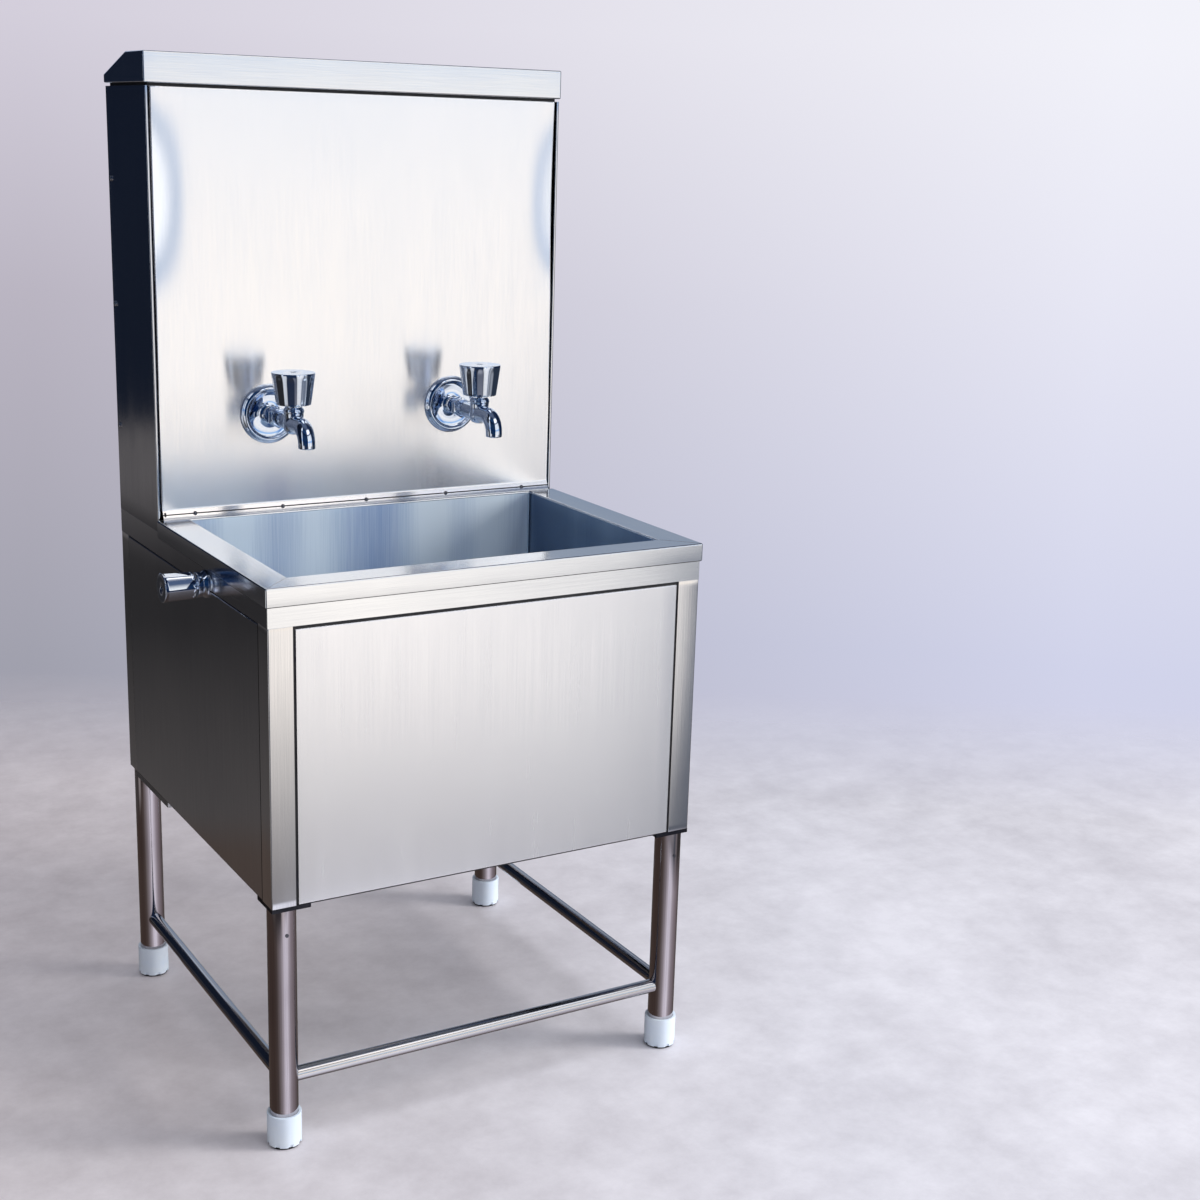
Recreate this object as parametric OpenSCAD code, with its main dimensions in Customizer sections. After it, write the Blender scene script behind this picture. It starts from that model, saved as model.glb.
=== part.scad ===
// Handwash station: a deep sink in a skirted cabinet on four tube legs, with a tall rear
// housing that carries two bib taps, and a stopcock on the left side of the cabinet.

/* [Cabinet] */
// Width of the cabinet across the corner posts
body_w = 635; // [600:5:760]
// Depth of the cabinet from its front face to its rear face
body_d = 612; // [590:5:720]
// Height of the sink rim above the floor
rim_z = 771; // [760:1:900]
// Height of the lower edge of the skirt above the floor
skirt_z = 347; // [320:1:370]
// Thickness of the folded cabinet sheet
sheet_t = 1.2; // [1:0.1:1.5]
// Width of each flange of a corner post
post_flange = 33; // [30:1:40]
// Gap between the front panel and what frames it
panel_gap = 4; // [2:0.5:6]
// Gap between a side or rear panel and what frames it
side_gap = 2; // [1:0.5:3]
// Depth of the fold along the top and bottom of each panel
panel_fold = 15; // [8:1:20]
// Height of rail that shows below the folded edge of the rim
rail_show = 28; // [22:1:36]
// Depth of the lip along the bottom of each rail
rail_lip = 10; // [6:1:12]
// Height of the straps that carry the panels
strap_h = 25; // [15:1:30]
// Thickness of the straps that carry the panels
strap_t = 3; // [2:0.5:4]
// Distance from the end of a panel to the middle of its strap
strap_inset = 35; // [32:1:40]
// Depth that the service tray hangs below the skirt
tray_drop = 10; // [6:1:14]
// Height of the walls of the service tray
tray_h = 25; // [18:1:30]

/* [Legs] */
// Outside diameter of the leg tubes
leg_d = 38.1; // [36:0.1:42.4]
// Wall of the leg tubes
leg_wall = 1.5; // [1.2:0.1:2.5]
// Outside diameter of the plastic foot caps
foot_cap_d = 46; // [44:0.5:54]
// Height of the foot caps
foot_cap_h = 44; // [30:1:60]
// Thickness of the floor of a foot cap
foot_floor = 4; // [3:0.5:6]
// Thickness of the pad under each foot
foot_pad_t = 3; // [2:0.5:5]
// Diameter of the stretchers between the legs
stretcher_d = 20; // [16:0.5:25]
// Height of the stretchers above the floor
stretcher_z = 97; // [80:1:150]
// Reach of the plates under the skirt beyond the legs
leg_plate_reach = 14; // [8:1:20]
// Thickness of the plates under the skirt
leg_plate_t = 6; // [4:0.5:8]
// Diameter of the set screws in the legs
set_screw_d = 5; // [4:0.5:6]
// Distance of the set screws below the skirt
set_screw_drop = 40; // [30:1:60]

/* [Sink] */
// Distance that the rim stands out past the cabinet
rim_over = 3; // [3:0.5:6]
// Height of the folded edge of the rim
rim_fold = 24; // [18:1:30]
// Thickness of the rim and basin sheet
rim_t = 1.5; // [1.2:0.1:2]
// Depth of the basin below the rim
bowl_depth = 260; // [200:5:270]
// Gap between the legs and the wall of the basin
bowl_gap = 2.1; // [1:0.1:10]
// Width of the flat strip behind the basin
rear_strip = 4; // [3:1:30]
// Diameter of the waste flange in the floor of the basin
waste_flange_d = 80; // [70:1:90]
// Outside diameter of the waste tail
waste_tail_d = 44; // [40:1:48]
// Length of the waste tail below the floor of the basin
waste_tail_l = 60; // [55:1:70]
// Diameter of the bottle trap
trap_d = 72; // [66:1:80]
// Length of the bottle trap
trap_l = 80; // [70:1:85]
// Outside diameter of the waste pipe
waste_d = 40; // [32:1:42]
// Length of waste pipe that stands out behind the cabinet
waste_stub = 45; // [35:1:60]

/* [Rear housing] */
// Depth of the rear housing
splash_d = 182; // [160:1:220]
// Height of the top of the cap above the floor
top_z = 1408; // [1300:1:1600]
// Height of the front face of the cap
cap_h = 41; // [30:1:50]
// Depth of the flat top of the cap
cap_flat = 80; // [60:1:100]
// Height of the rear face of the cap
cap_rear_h = 12; // [6:1:20]
// Distance that the cap stands out past the housing
cap_over = 2; // [1:0.5:5]
// Thickness of the seal under the cap
cap_seal_t = 4; // [3:0.5:6]
// Distance that the seal under the cap is set back
cap_seal_back = 5; // [3:0.5:8]
// Distance that the sides of the housing reach below the rim
housing_drop = 17; // [10:1:20]
// Width of the narrow returns beside the front panel of the housing
return_w = 4; // [3:0.5:8]
// Gap beside the front panel of the housing
return_gap = 3; // [2:0.5:5]
// Depth of the sloping cove along the foot of the housing
cove = 6; // [5:1:18]
// Height of the sloping cove
cove_rise = 13; // [8:1:18]
// Diameter of the rivet heads along the cove
rivet_d = 6; // [4:0.5:8]
// Distance between the rivets along the cove
rivet_pitch = 132; // [80:1:140]
// Diameter of the shanks of the cover screws
screw_d = 4; // [3:0.5:5]
// Number of cover screws on each side
screw_count = 3; // [2:1:6]
// Distance of the last cover screws from the ends of the housing
screw_inset = 127; // [20:1:200]

/* [Taps] */
// Distance between the two taps
tap_spacing = 290; // [240:5:340]
// Distance of the pair of taps to the left of the middle
tap_shift = 5; // [0:1:10]
// Height of the taps above the rim
tap_rise = 143; // [130:1:180]
// Distance from the housing to the axis of a tap handle
tap_valve = 97; // [90:1:110]
// Distance from the axis of a tap handle to the middle of its mouth
tap_throw = 47; // [45:1:60]
// Diameter of the barrel and spout of a tap
tap_d = 25; // [22:0.5:28]
// Diameter of the wall flange of a tap
tap_flange_d = 86; // [70:1:90]
// Depth of the wall flange of a tap
tap_flange_h = 9; // [8:1:16]
// Diameter of the vertical boss that holds the tap cartridge
tap_boss_d = 30; // [28:0.5:34]
// Diameter of a tap handle at its top
knob_top_d = 61; // [50:1:64]
// Diameter of a tap handle at its bottom
knob_low_d = 53; // [42:1:54]
// Height of a tap handle
knob_h = 45; // [34:1:50]
// Diameter of the tap spindles
spindle_d = 8; // [7:0.5:9]

/* [Stopcock] */
// Distance of the stopcock in front of the middle of the cabinet
stopcock_y = 76; // [40:1:120]
// Height of the stopcock above the lower edge of the rail
stopcock_rise = 5; // [0:1:6]
// Reach of the stopcock past the side of the cabinet
stopcock_reach = 60; // [56:1:70]
// Diameter of the stopcock handle at its face
stopcock_top_d = 39; // [34:1:42]
// Diameter of the stopcock handle at its inner end
stopcock_low_d = 37; // [30:1:38]
// Diameter of the stopcock wall flange
stopcock_flange_d = 34; // [30:1:40]
// Diameter of the stopcock neck
stopcock_neck_d = 16; // [14:0.5:18]
// Diameter of the stopcock body
stopcock_body_d = 26; // [24:0.5:28]

/* [Supply] */
// Outside diameter of the supply pipes
pipe_d = 15; // [12:0.5:16]
// Wall of the supply pipes
pipe_wall = 1; // [0.8:0.1:1.5]
// Distance of the inlet from the middle of the cabinet
inlet_x = 240; // [200:5:250]
// Height of the inlet above the floor
inlet_z = 600; // [560:5:640]
// Diameter of the inlet thread
inlet_d = 21; // [20:0.1:22]
// Length of inlet nipple that stands out behind its collar
inlet_stub = 25; // [20:1:35]

/* [Hidden] */
$fn = 48;
leg_fit = 0.1;
slip = 0.3;
turn_fit = 0.05;
cut = 1;

half_w = body_w / 2;
half_d = body_d / 2;
leg_r = leg_d / 2;
leg_in = sheet_t + leg_fit + leg_r;
leg_x = half_w - leg_in;
leg_y = half_d - leg_in;
rail_z = rim_z - rim_fold - rail_show;
rim_under = rim_z - rim_t;
housing_z = rim_z - housing_drop;
splash_y = half_d - splash_d;
cap_z = top_z - cap_h;
housing_top = cap_z - cap_seal_t;
open_inset = sheet_t + leg_fit + leg_d + bowl_gap + rim_t;
open_x = half_w - open_inset;
open_front = -half_d + open_inset;
cove_y = splash_y - cove;
cove_z = rim_z + cove_rise;
open_rear = cove_y - rear_strip;
bowl_floor = rim_z - bowl_depth;
bowl_under = bowl_floor - rim_t;
drain_y = (open_front + open_rear) / 2;

left_x = -half_w - stopcock_reach;
right_x = half_w + rim_over;
front_y = -half_d - rim_over;
rear_y = half_d + waste_stub;
mid_x = (left_x + right_x) / 2;
mid_y = (front_y + rear_y) / 2;

strap_low = skirt_z + strap_inset;
strap_high = rail_z - strap_inset;
strap_end = 0.45;

pipe_x = -(half_w - sheet_t + open_x + rim_t) / 2;
stopcock_z = rail_z + stopcock_rise;
tap_z = rim_z + tap_rise;
tap_left_x = -tap_spacing / 2 - tap_shift;
tap_right_x = tap_spacing / 2 - tap_shift;
manifold_back = 40;
manifold_y = splash_y + manifold_back;
shank_d = inlet_d;
shank_back = 30;
run_z = rim_under - pipe_d - 6;
inlet_turn_back = 80;
inlet_turn_y = half_d - inlet_turn_back;
pipe_end = 20;

trap_wall = 3;
socket_l = 20;
trap_top = bowl_under - waste_tail_l + socket_l;
trap_outlet_z = trap_top - socket_l - trap_wall - waste_d / 2;
boss_d = waste_d + 6;

module in_place() {
    translate([-mid_x, -mid_y, 0]) children();
}

// A box between two corners
module block(low, high) {
    translate(low) cube(high - low);
}

// A bar along X, Y or Z between two places
module bar_x(d, x0, x1, y, z) {
    translate([x0, y, z]) rotate([0, 90, 0]) cylinder(d = d, h = x1 - x0);
}

module bar_y(d, y0, y1, x, z) {
    translate([x, y0, z]) rotate([-90, 0, 0]) cylinder(d = d, h = y1 - y0);
}

module bar_z(d, z0, z1, x, y) {
    translate([x, y, z0]) cylinder(d = d, h = z1 - z0);
}

// A tube that stands upright
module tube_z(d, wall, z0, z1, x, y) {
    difference() {
        bar_z(d, z0, z1, x, y);
        bar_z(d - 2 * wall, z0 - cut, z1 + cut, x, y);
    }
}

// The four legs as cutters for what fits round them
module leg_space(fit) {
    for (x = [-leg_x, leg_x], y = [-leg_y, leg_y])
        bar_z(leg_d + 2 * fit, 0, rim_under, x, y);
}

// Legs and feet
module leg(x, y) {
    inward = y < 0 ? -1 : 1;
    color("dimgray") in_place() difference() {
        tube_z(leg_d, leg_wall, foot_pad_t + foot_floor, rim_under - bowl_gap, x, y);
        translate([x, y, skirt_z - set_screw_drop]) rotate([90 * -inward, 0, 0])
            cylinder(d = set_screw_d + 2 * turn_fit, h = leg_d);
    }
}

module leg_front_left() leg(-leg_x, -leg_y);
module leg_front_right() leg(leg_x, -leg_y);
module leg_rear_left() leg(-leg_x, leg_y);
module leg_rear_right() leg(leg_x, leg_y);

module foot_caps() {
    notches = 8;
    notch_w = 6;
    notch_h = 4;
    notch_depth = 2;
    color("whitesmoke") in_place()
        for (x = [-leg_x, leg_x], y = [-leg_y, leg_y])
            translate([x, y, foot_pad_t]) difference() {
                cylinder(d = foot_cap_d, h = foot_cap_h);
                translate([0, 0, foot_floor]) cylinder(d = leg_d + 2 * leg_fit, h = foot_cap_h);
                for (k = [0 : notches - 1])
                    rotate([0, 0, k * 360 / notches])
                        translate([foot_cap_d / 2 - notch_depth, -notch_w / 2, -cut])
                            cube([foot_cap_d, notch_w, notch_h + cut]);
            }
}

module foot_pads() {
    inset = 2.5;
    color([0.1, 0.1, 0.1]) in_place()
        for (x = [-leg_x, leg_x], y = [-leg_y, leg_y])
            bar_z(foot_cap_d - 2 * inset, 0, foot_pad_t, x, y);
}

module leg_plates() {
    reach = leg_r + leg_plate_reach;
    edge = leg_in - slip;
    corner = 10;
    color("dimgray") in_place()
        for (side = [-1, 1])
            translate([side * leg_x, -leg_y, skirt_z - leg_plate_t]) difference() {
                linear_extrude(leg_plate_t) polygon([
                    [side * -reach, -edge], [side * edge, -edge], [side * edge, reach],
                    [side * (corner - reach), reach], [side * -reach, reach - corner]
                ]);
                translate([0, 0, -cut]) cylinder(d = leg_d + 2 * leg_fit, h = leg_plate_t + 2 * cut);
            }
}

module leg_set_screws() {
    proud = 0.8;
    color("gray") in_place()
        for (x = [-leg_x, leg_x], side = [-1, 1])
            translate([x, side * (leg_y + leg_r - leg_wall - 2), skirt_z - set_screw_drop])
                rotate([-90 * side, 0, 0]) cylinder(d = set_screw_d, h = leg_wall + 2 + proud);
}

// Stretchers, coped to the legs
module stretcher_front() {
    color("silver") in_place() difference() {
        bar_x(stretcher_d, -leg_x, leg_x, -leg_y, stretcher_z);
        leg_space(leg_fit);
    }
}

module side_stretcher(x) {
    color("silver") in_place() difference() {
        bar_y(stretcher_d, -leg_y, leg_y, x, stretcher_z);
        leg_space(leg_fit);
    }
}

module stretcher_left() side_stretcher(-leg_x);
module stretcher_right() side_stretcher(leg_x);

// Corner posts folded from sheet round the legs
module corner_posts() {
    color("silver") in_place()
        for (sx = [-1, 1], sy = [-1, 1])
            in_quarter(sx, sy) translate([half_w, half_d, skirt_z]) linear_extrude(rail_z - skirt_z)
                polygon([[0, 0], [-post_flange, 0], [-post_flange, -sheet_t], [-sheet_t, -sheet_t],
                    [-sheet_t, -post_flange], [0, -post_flange]]);
}

// The same shape in another quarter of the plan
module in_quarter(sx, sy) {
    mirror([sx < 0 ? 1 : 0, 0, 0]) mirror([0, sy < 0 ? 1 : 0, 0]) children();
}

// Rails round the top of the cabinet
lip_end_x = leg_x - leg_r - slip;
lip_end_y = leg_y - leg_r - slip;

module rail_front() {
    color("gainsboro") in_place() {
        block([-half_w, -half_d, rail_z], [half_w, -half_d + sheet_t, rim_under]);
        block([-lip_end_x, -half_d, rail_z], [lip_end_x, -half_d + sheet_t + rail_lip, rail_z + sheet_t]);
    }
}

module rail_rear() {
    color("gainsboro") in_place() {
        block([-half_w, half_d - sheet_t, rail_z], [half_w, half_d, housing_z]);
        block([-lip_end_x, half_d - sheet_t - rail_lip, rail_z], [lip_end_x, half_d, rail_z + sheet_t]);
    }
}

module side_rail_sheet() {
    block([half_w - sheet_t, -half_d + sheet_t, rail_z], [half_w, splash_y, rim_under]);
    block([half_w - sheet_t, -half_d + sheet_t, rail_z], [half_w, half_d - sheet_t, housing_z]);
    block([half_w - sheet_t - rail_lip, -lip_end_y, rail_z], [half_w, lip_end_y, rail_z + sheet_t]);
}

module rail_right() {
    color("gainsboro") in_place() side_rail_sheet();
}

// Room for the neck and body of the stopcock in the left rail and panel
module stopcock_space() {
    bar_x(stopcock_neck_d + 2 * slip, -half_w - cut, -half_w + sheet_t + cut, -stopcock_y, stopcock_z);
    bar_x(stopcock_body_d + 4, -half_w + sheet_t, -half_w + leg_d, -stopcock_y, stopcock_z);
}

module rail_left() {
    color("gainsboro") in_place() difference() {
        mirror([1, 0, 0]) side_rail_sheet();
        stopcock_space();
    }
}

// Panels: flat sheets with a fold along the top and bottom between the legs
module panel_sheet(half, fold_half, gap) {
    top = rail_z - gap;
    block([-half, -half_d, skirt_z], [half, -half_d + sheet_t, top]);
    block([-fold_half, -half_d, skirt_z], [fold_half, -half_d + panel_fold, skirt_z + sheet_t]);
    block([-fold_half, -half_d, top - sheet_t], [fold_half, -half_d + panel_fold, top]);
}

fold_end_x = leg_x - leg_r - leg_plate_reach;
fold_end_y = leg_y - leg_r - leg_plate_reach;

module front_panel() {
    color("lightgray") in_place()
        panel_sheet(half_w - post_flange - panel_gap, fold_end_x, panel_gap);
}

module side_panel_sheet() {
    half = half_d - post_flange - side_gap;
    top = rail_z - side_gap;
    block([half_w - sheet_t, -half, skirt_z], [half_w, half, top]);
    block([half_w - panel_fold, -fold_end_y, skirt_z], [half_w, tray_front - slip, skirt_z + sheet_t]);
    block([half_w - panel_fold, -fold_end_y, top - sheet_t], [half_w, fold_end_y, top]);
}

module side_panel_right() {
    color("darkgray") in_place() side_panel_sheet();
}

module side_panel_left() {
    color("darkgray") in_place() difference() {
        mirror([1, 0, 0]) side_panel_sheet();
        stopcock_space();
    }
}

module rear_panel() {
    half = half_w - post_flange - side_gap;
    top = rail_z - side_gap;
    color("darkgray") in_place() difference() {
        union() {
            block([-half, half_d - sheet_t, skirt_z], [half, half_d, top]);
            block([-fold_end_x, half_d - panel_fold, top - sheet_t], [fold_end_x, half_d, top]);
        }
        bar_y(waste_d + 2 * slip, half_d - leg_d, half_d + cut, 0, trap_outlet_z);
        bar_y(inlet_d + 2 * slip, half_d - leg_d, half_d + cut, -inlet_x, inlet_z);
    }
}

// Straps behind the panels, coped to the legs
module panel_straps() {
    end_x = leg_x - strap_end * leg_r;
    end_y = leg_y - strap_end * leg_r;
    color("gray") in_place() difference() {
        for (z = [strap_low, strap_high], side = [-1, 1]) {
            in_quarter(1, side)
                block([-end_x, half_d - sheet_t - strap_t, z - strap_h / 2],
                    [end_x, half_d - sheet_t, z + strap_h / 2]);
            in_quarter(side, 1)
                block([half_w - sheet_t - strap_t, -end_y, z - strap_h / 2],
                    [half_w - sheet_t, end_y, z + strap_h / 2]);
        }
        leg_space(leg_fit);
    }
}

// Tray that closes the underside below the rear housing
tray_front = splash_y;

module service_tray() {
    low = skirt_z - tray_drop;
    side = half_w - sheet_t - slip;
    rear = half_d - sheet_t - slip;
    color("gray") in_place() difference() {
        block([-side, tray_front, low], [side, rear, low + tray_h]);
        block([-side + sheet_t, tray_front + sheet_t, low + sheet_t],
            [side - sheet_t, rear - sheet_t, low + tray_h + cut]);
        leg_space(slip);
        for (x = [-leg_x, leg_x])
            in_quarter(x < 0 ? -1 : 1, 1)
                block([leg_x, leg_y, low - cut], [half_w, half_d, low + tray_h + cut]);
    }
}

// Sink rim with a folded edge on three sides
module sink_rim() {
    out_x = half_w + rim_over;
    out_y = -half_d - rim_over;
    fold_z = rim_z - rim_fold;
    color("gainsboro") in_place() difference() {
        block([-out_x, out_y, fold_z], [out_x, splash_y, rim_z]);
        block([-out_x + rim_t, out_y + rim_t, fold_z - cut], [out_x - rim_t, splash_y + cut, rim_under]);
        block([-open_x, open_front, fold_z - cut], [open_x, open_rear, rim_z + cut]);
    }
}

module sink_bowl() {
    color("lightsteelblue") in_place() difference() {
        block([-open_x - rim_t, open_front - rim_t, bowl_under],
            [open_x + rim_t, open_rear + rim_t, rim_under]);
        block([-open_x, open_front, bowl_floor], [open_x, open_rear, rim_z + cut]);
        bar_z(waste_tail_d + 2 * slip, bowl_under - cut, bowl_floor + cut, 0, drain_y);
    }
}

// Waste fittings under the basin
waste_wall = 3;
flange_t = 2;
gasket_t = 3;
waste_nut_h = 10;

module waste_strainer() {
    holes = 6;
    hole_d = 8;
    ring_r = 12;
    bore = waste_tail_d - 2 * waste_wall;
    color("silver") in_place() translate([0, drain_y, 0]) difference() {
        union() {
            bar_z(waste_flange_d, bowl_floor, bowl_floor + flange_t, 0, 0);
            bar_z(waste_tail_d, bowl_under - waste_tail_l, bowl_floor + flange_t, 0, 0);
        }
        bar_z(bore, bowl_under - waste_tail_l - cut, bowl_under, 0, 0);
        for (k = [0 : holes - 1])
            rotate([0, 0, k * 360 / holes]) bar_z(hole_d, bowl_under - cut, rim_z, ring_r, 0);
        bar_z(hole_d, bowl_under - cut, rim_z, 0, 0);
    }
}

module waste_gasket() {
    rim = 12;
    color([0.12, 0.12, 0.12]) in_place() difference() {
        bar_z(waste_tail_d + 2 * rim, bowl_under - gasket_t, bowl_under, 0, drain_y);
        bar_z(waste_tail_d + 2 * slip, 0, rim_z, 0, drain_y);
    }
}

module waste_nut() {
    across = waste_tail_d + 16;
    top = bowl_under - gasket_t;
    color("whitesmoke") in_place() difference() {
        translate([0, drain_y, top - waste_nut_h])
            cylinder(d = across / cos(30), h = waste_nut_h, $fn = 6);
        bar_z(waste_tail_d + 2 * slip, 0, rim_z, 0, drain_y);
    }
}

module bottle_trap() {
    low = trap_top - trap_l;
    dip_d = waste_tail_d - 2 * waste_wall - 2 * trap_wall;
    boss_end = drain_y + trap_d / 2 + socket_l;
    color("whitesmoke") in_place() difference() {
        union() {
            bar_z(trap_d, low, trap_top, 0, drain_y);
            bar_z(waste_tail_d + 2 * trap_wall + 2 * slip, trap_top, trap_top + socket_l, 0, drain_y);
            bar_y(boss_d, drain_y, boss_end, 0, trap_outlet_z);
        }
        bar_z(trap_d - 2 * trap_wall, low + trap_wall, trap_top - trap_wall - socket_l, 0, drain_y);
        bar_z(waste_tail_d + 2 * slip, trap_top - socket_l, rim_z, 0, drain_y);
        bar_z(dip_d, low + trap_wall, rim_z, 0, drain_y);
        bar_y(waste_d + 2 * slip, boss_end - socket_l, boss_end + cut, 0, trap_outlet_z);
        bar_y(waste_d - 2 * trap_wall, drain_y, boss_end, 0, trap_outlet_z);
    }
}

module waste_pipe() {
    start = drain_y + trap_d / 2;
    collar_t = 5;
    wall = 2;
    color("whitesmoke") in_place() difference() {
        union() {
            bar_y(waste_d, start, rear_y, 0, trap_outlet_z);
            bar_y(boss_d + 4, half_d, half_d + collar_t, 0, trap_outlet_z);
        }
        bar_y(waste_d - 2 * wall, start - cut, rear_y + cut, 0, trap_outlet_z);
    }
}

// Rear housing
panel_half = half_w - return_w - return_gap;
housing_fold = 15;
fold_clear = 20;
cover_side = half_w - sheet_t - slip;
screw_y = half_d - 11;
screw_pitch = (housing_top - housing_z - 2 * screw_inset) / (screw_count - 1);
screw_places = [for (k = [0 : screw_count - 1]) housing_z + screw_inset + k * screw_pitch];

module cover_screw_holes() {
    for (z = screw_places)
        bar_x(screw_d + 2 * slip, -half_w - cut, half_w + cut, screw_y, z);
}

module splash_side() {
    block([half_w - sheet_t, splash_y, housing_z], [half_w, half_d, housing_top]);
    block([half_w - return_w, splash_y, rim_z], [half_w, splash_y + sheet_t, housing_top]);
    block([half_w - housing_fold, splash_y + fold_clear, housing_top - sheet_t],
        [half_w, half_d - fold_clear, housing_top]);
}

module splash_side_right() {
    color("darkgray") in_place() difference() {
        splash_side();
        cover_screw_holes();
    }
}

module splash_side_left() {
    color("darkgray") in_place() difference() {
        mirror([1, 0, 0]) splash_side();
        cover_screw_holes();
    }
}

module splash_front_panel() {
    fall = atan2(cove, cove_rise);
    inner = sheet_t * tan(fall / 2);
    edge = sheet_t / cos(fall);
    color("aliceblue") in_place() difference() {
        union() {
            translate([-panel_half, 0, 0]) rotate([90, 0, 90]) linear_extrude(2 * panel_half) polygon([
                [splash_y, housing_top], [splash_y, cove_z], [cove_y, rim_z],
                [cove_y + edge, rim_z], [splash_y + sheet_t, cove_z - inner],
                [splash_y + sheet_t, housing_top]
            ]);
            for (side = [-1, 1])
                in_quarter(side, 1) block([panel_half - sheet_t, splash_y, cove_z],
                    [panel_half, splash_y + housing_fold, housing_top]);
            block([-panel_half, splash_y, housing_top - sheet_t],
                [panel_half, splash_y + housing_fold, housing_top]);
        }
        for (x = [tap_left_x, tap_right_x])
            bar_y(shank_d + 2 * slip, 0, half_d, x, tap_z);
    }
}

module splash_back_cover() {
    color("darkgray") in_place() difference() {
        union() {
            block([-cover_side, half_d - sheet_t, housing_z], [cover_side, half_d, housing_top]);
            block([-cover_side, half_d - housing_fold, housing_top - sheet_t],
                [cover_side, half_d, housing_top]);
            for (side = [-1, 1])
                in_quarter(side, 1) block([cover_side - sheet_t, half_d - housing_fold, housing_z],
                    [cover_side, half_d, housing_top]);
        }
        cover_screw_holes();
    }
}

module cover_screws() {
    head_d = 2 * screw_d;
    head_h = 2.2;
    reach = 10;
    color("silver") in_place()
        for (side = [-1, 1], z = screw_places)
            in_quarter(side, 1) {
                bar_x(head_d, half_w, half_w + head_h, screw_y, z);
                bar_x(screw_d, half_w - reach, half_w + head_h, screw_y, z);
            }
}

module cap_seal() {
    width = housing_fold - cap_seal_back;
    x = half_w - cap_seal_back;
    front = splash_y + cap_seal_back;
    rear = half_d - cap_seal_back;
    color([0.12, 0.12, 0.12]) in_place() difference() {
        block([-x, front, housing_top], [x, rear, cap_z]);
        block([-x + width, front + width, housing_top - cut], [x - width, rear - width, cap_z + cut]);
    }
}

module splash_cap() {
    front = splash_y - cap_over;
    rear = half_d + cap_over;
    half = half_w + cap_over;
    knee = front + cap_flat;
    fall = atan((cap_h - cap_rear_h) / (rear - knee));
    low = cap_z + sheet_t;
    rear_in = cap_z + cap_rear_h + sheet_t * tan(fall) - sheet_t / cos(fall);
    rim = housing_fold + cap_over;
    color("gainsboro") in_place() difference() {
        translate([-half, 0, 0]) rotate([90, 0, 90]) linear_extrude(2 * half) polygon([
            [front, cap_z], [front, top_z], [knee, top_z], [rear, cap_z + cap_rear_h], [rear, cap_z]
        ]);
        translate([-half + sheet_t, 0, 0]) rotate([90, 0, 90]) linear_extrude(2 * (half - sheet_t)) polygon([
            [front + sheet_t, low], [front + sheet_t, top_z - sheet_t],
            [knee - sheet_t * tan(fall / 2), top_z - sheet_t], [rear - sheet_t, rear_in],
            [rear - sheet_t, low]
        ]);
        block([-half + rim, front + rim, cap_z - cut], [half - rim, rear - rim, cap_z + 2 * sheet_t]);
    }
}

module seam_rivets() {
    head_h = 1.2;
    lean = atan2(cove_rise, cove);
    color([0.2, 0.2, 0.2]) in_place()
        for (k = [-2 : 2])
            translate([k * rivet_pitch, splash_y - cove / 2, rim_z + cove_rise / 2])
                rotate([lean, 0, 0]) cylinder(d = rivet_d, h = head_h);
}

// Bib taps
boss_low = 15;
boss_high = 20;
cartridge_d = 22;
cartridge_low = 8;
bonnet_h = 4;
knob_gap = 3;
bend_r = 22;
mouth_l = 6;
knob_z = tap_z + boss_high + bonnet_h + knob_gap;
tap_valve_y = splash_y - tap_valve;
spindle_top = knob_z + knob_h - 9;
knob_flutes = 10;
knob_flute_d = 24;
knob_flute_depth = 1.2;
knob_screw_d = 3;
knob_screw_head_d = 6.4;
knob_screw_sink = 3;

module tap_flange(x) {
    rise = 3;
    dish = 4;
    ring_w = 8;
    round_w = 3;
    out_r = tap_flange_d / 2;
    color("silver") in_place() translate([x, splash_y, tap_z]) rotate([90, 0, 0]) difference() {
        rotate_extrude($fn = 96) polygon([
            [0, 0], [out_r - 1, 0], [out_r, rise], [out_r - round_w, tap_flange_h - 1],
            [out_r - ring_w / 2, tap_flange_h], [out_r - ring_w, tap_flange_h - 1],
            [out_r - ring_w - round_w, dish], [0, dish]
        ]);
        translate([0, 0, -cut]) cylinder(d = shank_d + 2 * slip, h = tap_flange_h + 2 * cut);
    }
}

module tap_flange_left() tap_flange(tap_left_x);
module tap_flange_right() tap_flange(tap_right_x);

module spout_path(d, extra) {
    start = tap_valve_y - (tap_throw - bend_r);
    bar_y(d, start, tap_valve_y, 0, 0);
    translate([0, start, -bend_r]) rotate([90, 0, -90]) rotate_extrude(angle = 90)
        translate([bend_r, 0]) circle(d = d);
    bar_z(d, -bend_r - mouth_l - extra, -bend_r, 0, start - bend_r);
}

module tap_body(x) {
    hex = tap_d + 5;
    hex_back = 25;
    hex_l = 15;
    waterway = 12;
    spout_wall = 3;
    color("silver") in_place() translate([x, 0, tap_z]) difference() {
        union() {
            bar_y(shank_d, splash_y - hex_back, splash_y + shank_back, 0, 0);
            translate([0, splash_y - hex_back, 0]) rotate([90, 0, 0])
                cylinder(d = hex / cos(30), h = hex_l, $fn = 6);
            bar_y(tap_d, tap_valve_y, splash_y - hex_back, 0, 0);
            bar_z(tap_boss_d, -boss_low, boss_high, 0, tap_valve_y);
            spout_path(tap_d, 0);
        }
        bar_z(cartridge_d + 2 * turn_fit, -cartridge_low, boss_high + cut, 0, tap_valve_y);
        bar_y(waterway, tap_valve_y, splash_y + shank_back + cut, 0, 0);
        spout_path(tap_d - 2 * spout_wall, cut);
    }
}

module tap_body_left() tap_body(tap_left_x);
module tap_body_right() tap_body(tap_right_x);

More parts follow.
